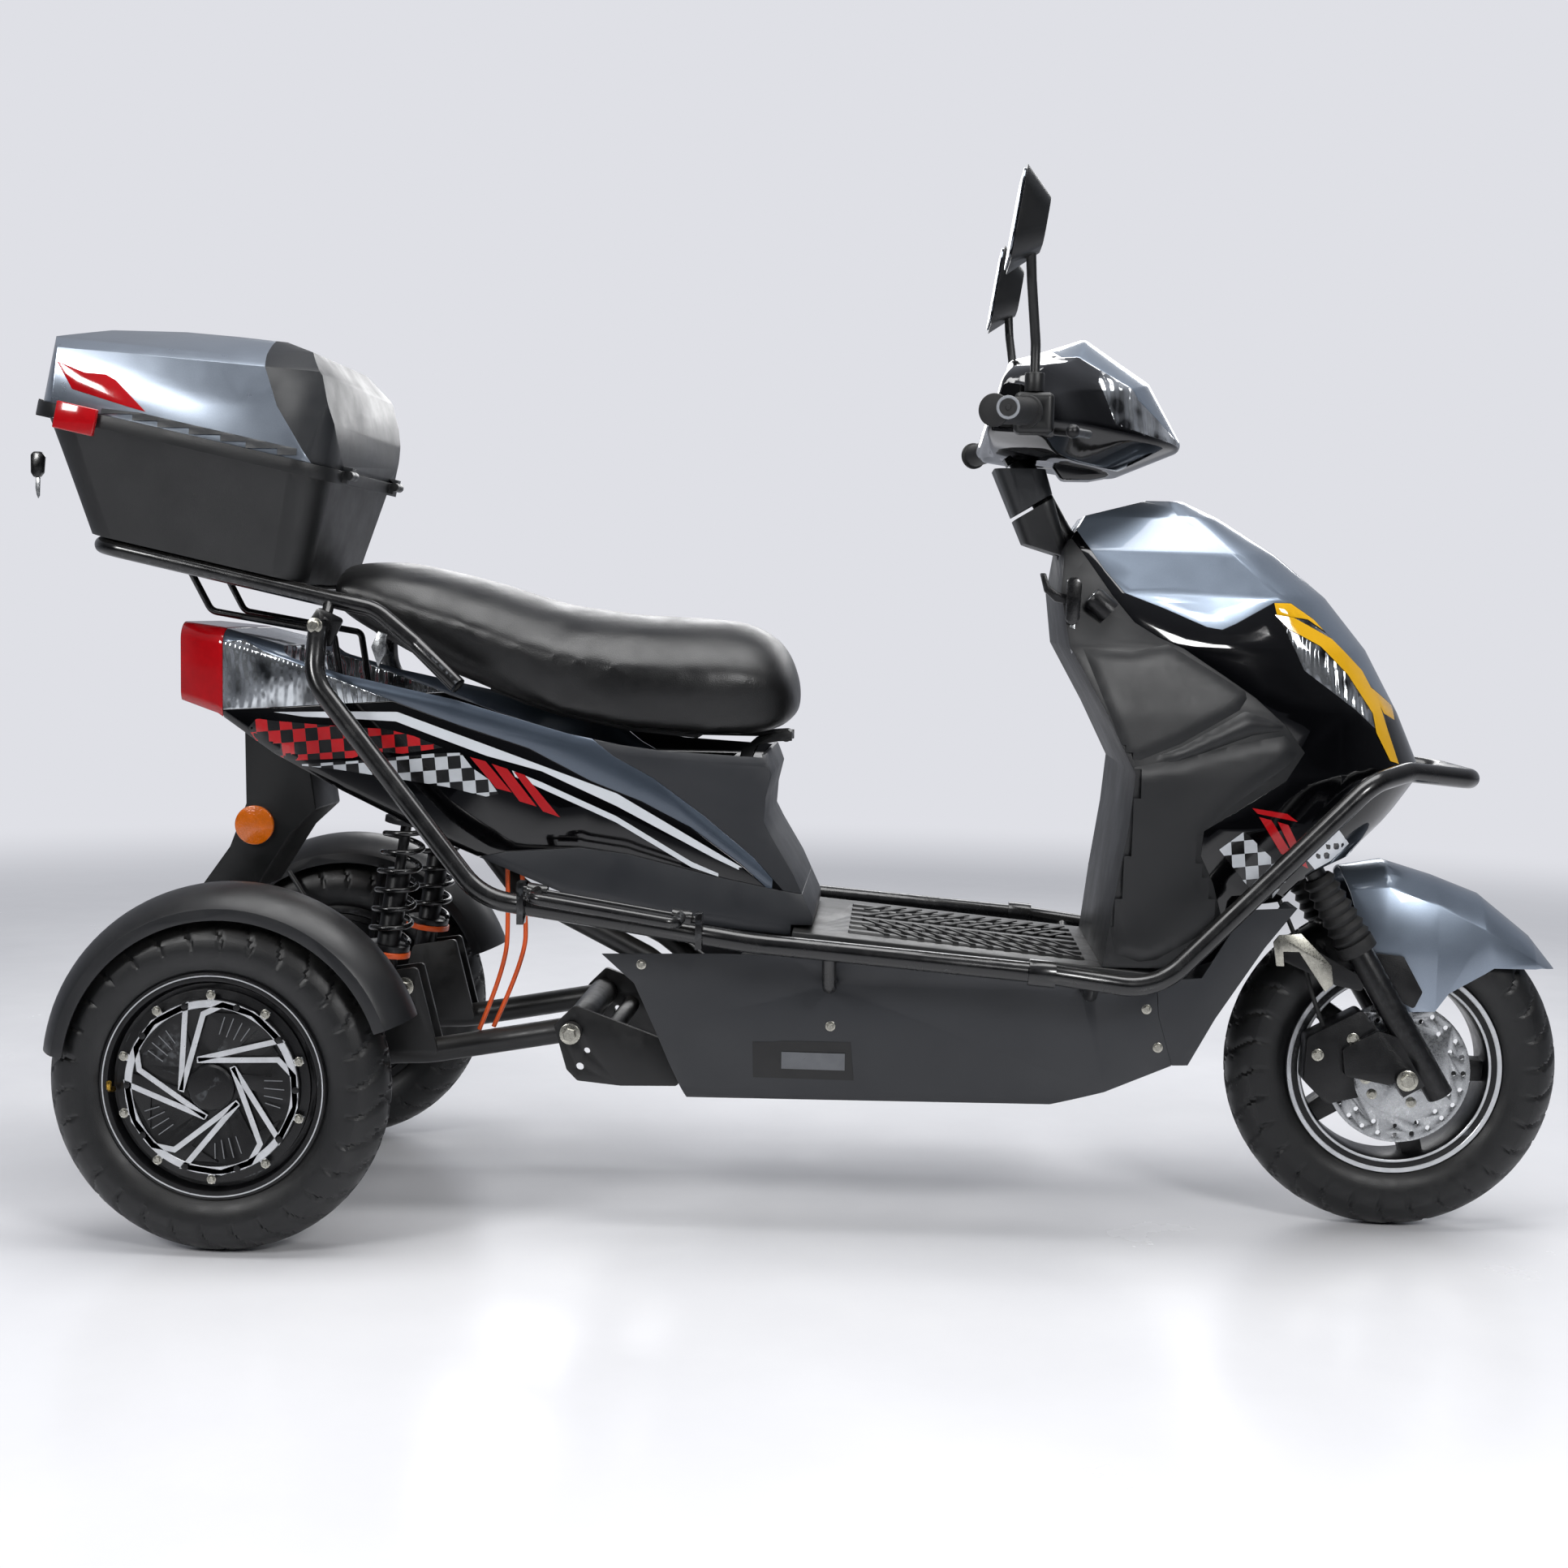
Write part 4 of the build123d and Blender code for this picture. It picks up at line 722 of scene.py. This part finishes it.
hubFace(-1)
hubFace(1)
rimShape = {
    "lip": [(132.5, 35.9), (133.4, 36.6), (138.4, 36.6), (139.0, 35.9)],
    "step": [(121.5, 35.9), (122.4, 36.5), (124.5, 36.5), (125.2, 35.9)],
    "bolts": 5, "boltRadius": 44, "boltFace": -56.2,
}
rimPieces = [revolve(label, sided(rimShape[label], side), frontAxle, "machined")
             for side in sides for label in ("lip", "step")]
for i in range(rimShape["bolts"]):
    a = 2 * math.pi * (i + 0.1) / rimShape["bolts"]
    reach = rimShape["boltRadius"]
    spot = at(frontAxle[0] + reach * math.cos(a), rimShape["boltFace"], frontAxle[2] + reach * math.sin(a))
    rimPieces.append(boltMesh(spot, (0, -1, 0), 0.0045))
add(joined("frontRimTrim", rimPieces), "front_wheel")
print("wheel faces done")


# seat cover: cloth over foam; sizes in metres, base is the height of the seat's foot in millimetres
seatShape = {"voxel": 0.0065, "before": 14, "pressure": 4.0, "frames": 14, "cap": 0.005, "even": 24,
             "base": 660, "foot": 0.03}


def smoothed(obj, turns):
    soften = obj.modifiers.new("soften", "SMOOTH")
    soften.factor = 0.5
    soften.iterations = turns
    bake(obj)


def makeSeat():
    source = nodes["seat"]
    obj = finishMesh("seatCover", source.data.copy(), "seatSkin", 0)
    obj.matrix_world = source.matrix_world.copy()
    remesh = obj.modifiers.new("even", "REMESH")
    remesh.mode = "VOXEL"
    remesh.voxel_size = seatShape["voxel"]
    bake(obj)
    smoothed(obj, seatShape["before"])
    rest = [v.co.copy() for v in obj.data.vertices]
    cloth = obj.modifiers.new("cloth", "CLOTH")
    cloth.settings.quality = 6
    cloth.settings.mass = 0.25
    cloth.settings.use_pressure = True
    cloth.settings.uniform_pressure_force = seatShape["pressure"]
    cloth.settings.tension_stiffness = 25
    cloth.settings.compression_stiffness = 25
    cloth.settings.bending_stiffness = 2.0
    cloth.settings.effector_weights.gravity = 0
    cloth.collision_settings.use_collision = False
    cloth.point_cache.frame_start = 1
    cloth.point_cache.frame_end = seatShape["frames"] + 2
    for number in range(1, seatShape["frames"] + 1):
        bpy.context.scene.frame_set(number)
    bake(obj)
    bpy.context.scene.frame_set(1)
    base = at(0, 0, seatShape["base"]).z
    for v, start in zip(obj.data.vertices, rest):
        move = v.co - start
        if move.length > seatShape["cap"]:
            v.co = start + move.normalized() * seatShape["cap"]
        # the underside and the foot of the sides stay on the seat's base
        low = (start.z - base) / seatShape["foot"]
        if low < 1.0:
            v.co = start.lerp(v.co, max(0.0, low))
    smoothed(obj, seatShape["even"])
    obj.data.shade_smooth()
    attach(obj, "bench")
    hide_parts("seat")


makeSeat()
print("seat done")


# films on the side panels
tailFilm = {
    "red": ([(-17, 633), (-4, 646), (16, 644), (88, 640), (135, 638), (167, 637), (203, 629), (241, 615),
             (189, 606), (153, 608), (124, 599), (39, 593), (-2, 612)], "redChequer"),
    "white": ([(45, 588), (124, 595), (185, 602), (227, 607), (264, 609), (279, 590), (300, 576), (313, 558),
               (297, 554), (247, 565), (189, 573), (103, 584)], "whiteChequer"),
    "band": ([(20, 655), (117, 658), (182, 659), (296, 620), (464, 562), (589, 491), (667, 447), (589, 482),
              (464, 546), (368, 588), (297, 606), (225, 631), (180, 647), (124, 649), (60, 650)],
             "whiteStripe"),
    "line": ([(330, 588), (368, 574), (464, 533), (560, 477), (640, 444), (560, 470), (464, 525), (368, 566),
              (334, 580)], "whiteStripe"),
    "barA": ([(276, 604), (296, 599), (330, 560), (310, 565)], "redStripe"),
    "barB": ([(304, 596), (324, 590), (362, 543), (340, 549)], "redStripe"),
    "barC": ([(332, 587), (346, 583), (392, 530), (370, 537)], "redStripe"),
}
noseFilm = {
    "chequer": ([(1219, 511), (1250, 534), (1287, 500), (1310, 475), (1282, 437), (1253, 470)], "whiteChequer"),
    "line": ([(1259, 563), (1266, 556), (1318, 546), (1304, 556)], "redStripe"),
    "barA": ([(1268, 552), (1284, 548), (1316, 500), (1298, 506)], "redStripe"),
    "barB": ([(1292, 546), (1306, 542), (1336, 486), (1320, 494)], "redStripe"),
    "flash": ([(1330, 500), (1372, 536), (1391, 516), (1368, 494), (1346, 484)], "whiteStripe"),
}
for name, films, node in (("tailFilm", tailFilm, "tail_lower"), ("noseFilm", noseFilm, "fairing_black")):
    for side, letter in sides.items():
        for label, (outline, look) in films.items():
            lift = 0.0009 if label.startswith("bar") else 0.0005   # bars lie over the other films
            decal(name + label + letter, outline, node, side, look, lift)
lampTrim = [(1285, 803), (1309, 800), (1360, 774), (1402, 735), (1425, 695), (1437, 658), (1451, 618),
            (1438, 622), (1419, 657), (1414, 682), (1380, 730), (1343, 765), (1302, 786)]
for side, letter in sides.items():
    decal("lampTrim" + letter, lampTrim, "headlamp_trim", side, "yellowTrim", 0.0012, 0.006,
          ("fairing_black", "headlamp", "fairing_silver"))


def edgeGap(spot, outline):
    # shortest way from a point to an outline
    best = 1e9
    for a, b in zip(outline, outline[1:] + outline[:1]):
        ax, az = a
        dx, dz = b[0] - ax, b[1] - az
        t = max(0.0, min(1.0, ((spot[0] - ax) * dx + (spot[1] - az) * dz) / (dx * dx + dz * dz)))
        best = min(best, math.hypot(spot[0] - ax - t * dx, spot[1] - az - t * dz))
    return best


def raised(name, outline, node, side, look, height, slope, step=0.009):
    # a decal raised by height, its edges sloping over slope, both in millimetres
    obj = decal(name, outline, node, side, look, 0.0003, step)
    for v in obj.data.vertices:
        gap = edgeGap(((v.co.x - rearAxle) * 1000, v.co.z * 1000), outline)
        share = min(1.0, gap / slope)
        v.co.y += side * height / 1000 * share * share * (3 - 2 * share)
    obj.data.shade_smooth()


# outline, height, slope
shieldPanels = {
    "low": ([(1107, 613), (1167, 624), (1248, 644), (1299, 653), (1316, 634), (1307, 619), (1228, 561),
             (1200, 534), (1199, 510), (1223, 458), (1229, 432), (1223, 416), (1146, 371), (1124, 368),
             (1094, 379), (1081, 435), (1096, 545), (1103, 602)], 5.0, 10.0),
    "high": ([(1043, 757), (1105, 754), (1149, 764), (1247, 707), (1249, 698), (1240, 684), (1166, 642),
              (1116, 622), (1101, 623), (1096, 631)], 3.5, 8.0),
    "ridge": ([(1116, 620), (1167, 638), (1247, 683), (1310, 662), (1257, 653), (1201, 633), (1161, 619)],
              7.0, 7.0),
}
for side, letter in sides.items():
    for label, (outline, height, slope) in shieldPanels.items():
        raised("shield" + label + letter, outline, "leg_shield", side, "shieldGrey", height, slope)
print("shield panels done")
platePanel = {
    # the first film is a flat dark sheet, painted shade where the recess around the blank plate is
    "pocket": ([(643, 254), (668, 254), (680, 256), (767, 257), (774, 180), (645, 179)], "frameBlack", 0.0004),
    "pocketPlate": ([(680, 242), (760, 242), (760, 220), (680, 220)], "plate", 0.0016),
}
for label, (outline, look, lift) in platePanel.items():
    decal(label, outline, "belly_panels", -1, look, lift, 0.03)
print("decals done")


# floor tread: slanted ribs on the footboard, in millimetres
ribs = {"along": range(775, 1050, 22), "end": 1060, "across": ((16, 66), (74, 128)), "width": 9, "lean": 0.55,
        "foot": -0.2, "height": 4.4, "draft": 1.2}


def floorHeight(x):
    return 379.0 - (x - 870.0) * math.tan(math.radians(5.1))


treadPieces = []
for side in sides:
    for x in ribs["along"]:
        for y0, y1 in ribs["across"]:
            shift = (y1 - y0) * ribs["lean"]
            spots = [(x, y0), (x + ribs["width"], y0), (x + ribs["width"] + shift, y1), (x + shift, y1)]
            if max(s[0] for s in spots) > ribs["end"]:
                continue
            low = [at(a, side * b, floorHeight(a) + ribs["foot"]) for a, b in spots]
            top = [at(a + (ribs["draft"] if i in (0, 3) else -ribs["draft"]), side * b,
                      floorHeight(a) + ribs["height"]) for i, (a, b) in enumerate(spots)]
            faces = [(4, 5, 6, 7), (0, 1, 5, 4), (1, 2, 6, 5), (2, 3, 7, 6), (3, 0, 4, 7)]
            treadPieces.append(addMesh("rib", low + top, faces, "rubber", 20))
add(joined("floorTread", treadPieces), "root")


# cords: the routes' own control points, in millimetres from the rear axle, which at() turns into metres
cordRoutes = {
    "brakeHose": {
        "node": "brake_hose", "radius": 0.003, "look": "rubber", "stiffness": "stiff", "length": 0.229,
        "points": [(1323, -50, 486.4), (1297.3, -50, 471), (1340, -62, 384), (1360, -68, 310),
                   (1374.85, -68, 275.1)]},
    "powerCableFront": {
        "node": "power_cables", "radius": 0.003, "look": "orange", "stiffness": "medium", "length": 0.228,
        "points": [(319, -120, 470), (321, -120, 400), (318, -120, 330), (284, -120, 247.9)]},
    "powerCableBack": {
        "node": "power_cables", "radius": 0.003, "look": "orange", "stiffness": "medium", "length": 0.226,
        "points": [(336, -119, 470), (344, -118, 400), (342, -117, 340), (302, -116, 251.4)]},
}
for name, facts in cordRoutes.items():
    curve = newCurve(name, facts["radius"], 4, 16)
    line = curve.splines.new("NURBS")
    line.points.add(len(facts["points"]) - 1)
    for point, spot in zip(line.points, facts["points"]):
        point.co = (*at(*spot), 1.0)
    line.order_u = 3
    line.use_endpoint_u = True
    curve.materials.append(looks[facts["look"]])
    obj = newObject(name, curve)
    takePlace(obj, facts["node"])
print("cords done")


def stack(name, place, axis, profile, look):
    # a turned piece: (radius, lift) in millimetres along an axis from a point
    axis = Vector(axis).normalized()
    side = axis.orthogonal().normalized()
    other = axis.cross(side)
    count = 32
    vertices = []
    for r, lift in profile:
        for i in range(count):
            a = 2 * math.pi * i / count
            across = side * math.cos(a) + other * math.sin(a)
            vertices.append(place + axis * (lift / 1000) + across * (r / 1000))
    faces = []
    for k in range(len(profile) - 1):
        for i in range(count):
            j = (i + 1) % count
            faces.append((k * count + i, k * count + j, (k + 1) * count + j, (k + 1) * count + i))
    last = (len(profile) - 1) * count
    faces.append(tuple(range(last, last + count)))
    return addMesh(name, vertices, faces, look, 30)


def keyPieces(top, y, drop, blade):
    # a key hanging by its bow: drop is the bow's height, blade what shows of the shaft
    x, z = top
    low = z - drop
    bow = [(x - 9, z - 4), (x - 5, z), (x + 5, z), (x + 10, z - 6), (x + 8, low + 6), (x + 3, low),
           (x - 5, low), (x - 9, low + 6)]
    shaft = [(x - 3, low + 2), (x + 3, low + 2), (x + 2, low - blade + 4), (x, low - blade),
             (x - 2, low - blade + 5), (x - 3.5, low - blade * 0.5)]
    return [prism("bow", bow, y - 4, y + 4, "fob", 0.0018),
            prism("shaft", shaft, y - 1.1, y + 1.1, "steel", 0.0003)]


# bag hook, ignition lock and key under the column
ignition = {
    "hook": [(989, 849), (996, 849), (1001, 834), (1011, 826), (1040, 820), (1040, 808), (1008, 814),
             (995, 826)],
    "axis": (-0.75, 0, 0.66),
    "barrel": [(15, -16), (15, 10), (13, 14), (12, 14.5)],
    "face": [(10, 14.4), (10, 15.4), (8, 16)],
}
lockY = onSurface("leg_shield", 1040, 806, -1).y * 1000
lockPlace = at(1064, lockY - 3, 812)
lockPieces = [prism("hook", ignition["hook"], lockY - 2, lockY + 10, "castBlack", 0.0015),
              stack("barrel", lockPlace, ignition["axis"], ignition["barrel"], "castBlack"),
              stack("face", lockPlace, ignition["axis"], ignition["face"], "steel")]
lockPieces += keyPieces((1030, 844), lockY - 12, 58, 36)
add(joined("ignition", lockPieces), "root")
add(joined("spareKey", keyPieces((-337, 989), -16, 34, 28)), bodyOf["box_key"])

# chin under the cowl
chin = [(1000, 1003), (1092, 986), (1078, 976), (1058, 972), (1022, 972)]
add(prism("chin", chin, -22, 22, "glossBlack", 0.005), bodyOf["cowl_black"])


def endOf(node, side):
    # middle of a CAD piece's outermost face on one side
    source = nodes[node]
    spots = [source.matrix_world @ v.co for v in source.data.vertices]
    edge = max(p.y * side for p in spots)
    near = [p for p in spots if p.y * side > edge - 0.001]
    return Vector((sum(p.x for p in near) / len(near), side * edge, sum(p.z for p in near) / len(near)))


# a pale ring and a rubber cap on each grip
gripRing = [(13.5, -0.5), (13.2, 0.8), (10.8, 0.9), (10.4, 0.1)]
gripCap = [(10.2, -0.4), (9.8, 0.6), (3.2, 0.6), (2.8, 1.6)]
gripPieces = []
for side in sides:
    tip = endOf("grips", side)
    gripPieces.append(stack("gripRing", tip, (0, side, 0), gripRing, "paleRing"))
    gripPieces.append(stack("gripEnd", tip, (0, side, 0), gripCap, "rubber"))
add(joined("gripEnds", gripPieces), bodyOf["grips"])

# dark rim between the lid and the tub
boxRim = [(-239, 1037), (-136, 1027), (94, 979), (97, 961), (-136, 1006), (-239, 1017)]
for side, letter in sides.items():
    raised("boxRim" + letter, boxRim, "lid_silver", side, "hoodGrey", 2.0, 2.5, 0.008)

# bent bracket on the fork's right leg
bracket = [(1304, 385), (1311, 394), (1339, 397), (1379, 356), (1382, 332), (1372, 322), (1357, 344),
           (1337, 373), (1317, 373), (1319, 354), (1309, 354)]
add(prism("bracket", bracket, -86, -82.5, "zinc", 0.0008), "steering")

# seat latch bracket on the tail
latch = [(150, 741), (159, 761), (170, 757), (168, 733), (159, 715)]
add(prism("latch", latch, -158, -152, "steel", 0.001), "root")


# fasteners: where they sit, in millimetres, and the heads' radius
bodyBolts = [((87, 190.6, 767), 6.5), ((409, 162.0, 254), 9.0), ((192, 147.0, 306), 8.0)]
bellyScrews = [(502, 350), (741, 277), (1134, 311), (1150, 262)]
guardBolts = [(1467, 350), (1488, 316)]
caliperBolts = [(1366, 240), (1410, 262), (1428, 212)]
pieces = [boltMesh(at(x, side * y, z), (0, side, 0), radius / 1000)
          for (x, y, z), radius in bodyBolts for side in sides]
add(joined("bodyBolts", pieces), "root")
pieces = [boltMesh(onSurface("belly_panels", x, z, side), (0, side, 0), 0.0042)
          for side in sides for x, z in bellyScrews]
add(joined("panelScrews", pieces), "root")
pieces = []
for side in sides:
    for x, z in guardBolts:
        pieces.append(boltMesh(onSurface("front_mudguard", x, z, side), (0, side, 0), 0.0052))
    pieces.append(boltMesh(at(frontAxle[0], side * 108, frontAxle[2]), (0, side, 0), 0.009))   # axle nut
for x, z in caliperBolts:
    pieces.append(boltMesh(at(x, -84.2, z), (0, -1, 0), 0.0052))
add(joined("steerBolts", pieces), "steering")
print("fasteners done")


# stage, light and camera; the floor fades between these distances in metres
backdrop = {"colour": "#dfe0e6", "clear": 2.6, "gone": 5.2}


def makeStage():
    material, tree, shader, link = newMaterial("floorPale")
    tone = useGroup(tree, "mottle", Scale=1.4)
    link(mixColour(tree, rgb("#e2e2e5"), rgb("#eaeaec"), tone.outputs["Value"]), shader.inputs["Base Color"])
    rough = useGroup(tree, "mottle", Scale=3.0, Low=0.2, High=0.28)
    link(rough.outputs["Value"], shader.inputs["Roughness"])
    # far from the object the floor takes the backdrop's colour
    geometry = addNode(tree, "NewGeometry")
    length = addNode(tree, "VectorMath", operation="LENGTH")
    fade = addNode(tree, "MapRange", {"From Min": backdrop["clear"], "From Max": backdrop["gone"]},
                   interpolation_type="SMOOTHSTEP")
    seen = addNode(tree, "LightPath")
    glow = addNode(tree, "Emission", {"Color": rgb(backdrop["colour"])})
    blend = addNode(tree, "MixShader")
    link(geometry.outputs["Position"], length.inputs[0])
    link(length.outputs["Value"], fade.inputs["Value"])
    link(times(tree, fade.outputs["Result"], seen.outputs["Is Camera Ray"]), blend.inputs[0])
    link(shader.outputs[0], blend.inputs[1])
    link(glow.outputs[0], blend.inputs[2])
    link(blend.outputs[0], tree.nodes["Material Output"].inputs["Surface"])
    looks["floorPale"] = material
    corners = [(-30, -30, 0), (30, -30, 0), (30, 30, 0), (-30, 30, 0)]
    addMesh("floor", corners, [(0, 1, 2, 3)], "floorPale", 0)


makeStage()

# place and target in metres, width and height, watts
lights = {
    "top": ((0.1, -0.3, 3.2), (0, 0, 0.4), (3.2, 1.6), 95),
    "front": ((1.9, -3.0, 2.3), (0.3, 0, 0.6), (0.9, 0.7), 60),
    "rear": ((-2.2, -2.8, 2.2), (-0.3, 0, 0.5), (0.9, 0.7), 50),
    "back": ((0.2, 2.8, 2.0), (0, 0, 0.8), (3.0, 1.2), 45),
}
for name, (place, target, size, power) in lights.items():
    data = bpy.data.lights.new(name, "AREA")
    data.shape = "RECTANGLE"
    data.size, data.size_y = size
    data.energy = power
    obj = newObject(name, data)
    obj.location = place
    obj.rotation_euler = (Vector(target) - Vector(place)).to_track_quat("-Z", "Y").to_euler()


def makeWorld():
    # pale behind the object and overhead, a dim room on the photographer's side
    world = bpy.data.worlds.new("studio")
    bpy.context.scene.world = world
    world.use_nodes = True
    tree, link = world.node_tree, world.node_tree.links.new
    background = tree.nodes["Background"]
    path = addNode(tree, "LightPath")
    seen = addNode(tree, "Math", operation="MAXIMUM")
    coord = addNode(tree, "TexCoord")
    split = addNode(tree, "SeparateXYZ")
    behind = addNode(tree, "MapRange", {"From Min": -0.35, "From Max": 0.5}, interpolation_type="SMOOTHSTEP")
    above = addNode(tree, "MapRange", {"From Min": 0.1, "From Max": 0.9, "To Max": 0.75})
    most = addNode(tree, "Math", operation="MAXIMUM")
    link(path.outputs["Is Camera Ray"], seen.inputs[0])
    link(path.outputs["Is Transmission Ray"], seen.inputs[1])
    link(coord.outputs["Generated"], split.inputs[0])
    link(split.outputs["Y"], behind.inputs["Value"])
    link(split.outputs["Z"], above.inputs["Value"])
    link(behind.outputs["Result"], most.inputs[0])
    link(above.outputs["Result"], most.inputs[1])
    room = mixColour(tree, rgb("#25272b"), rgb("#979aa2"), most.outputs[0])
    link(mixColour(tree, room, rgb(backdrop["colour"]), seen.outputs[0]), background.inputs["Color"])
    background.inputs["Strength"].default_value = 1.0


makeWorld()

# camera fitted to the photograph: millimetres from the rear axle, radians, and the lens in millimetres
view = {"place": (818.56, -2769.53, 796.05), "yaw": 0.0546, "pitch": -0.0826, "roll": 0.0191, "lens": 47.97}
yaw, pitch, roll = view["yaw"], view["pitch"], view["roll"]
forward = Vector((-math.sin(yaw) * math.cos(pitch), math.cos(yaw) * math.cos(pitch), math.sin(pitch)))
right = Vector((math.cos(yaw), math.sin(yaw), 0))
up = right.cross(forward)
rightTurned = right * math.cos(roll) + up * math.sin(roll)
upTurned = up * math.cos(roll) - right * math.sin(roll)
cameraData = bpy.data.cameras.new("camera")
cameraData.lens = view["lens"]
cameraData.sensor_width = 36.0
camera = newObject("camera", cameraData)
turn = Matrix((rightTurned, upTurned, -forward)).transposed().to_4x4()
camera.matrix_world = Matrix.Translation(at(*view["place"])) @ turn
bpy.context.scene.camera = camera
bpy.context.scene.view_settings.view_transform = "Standard"
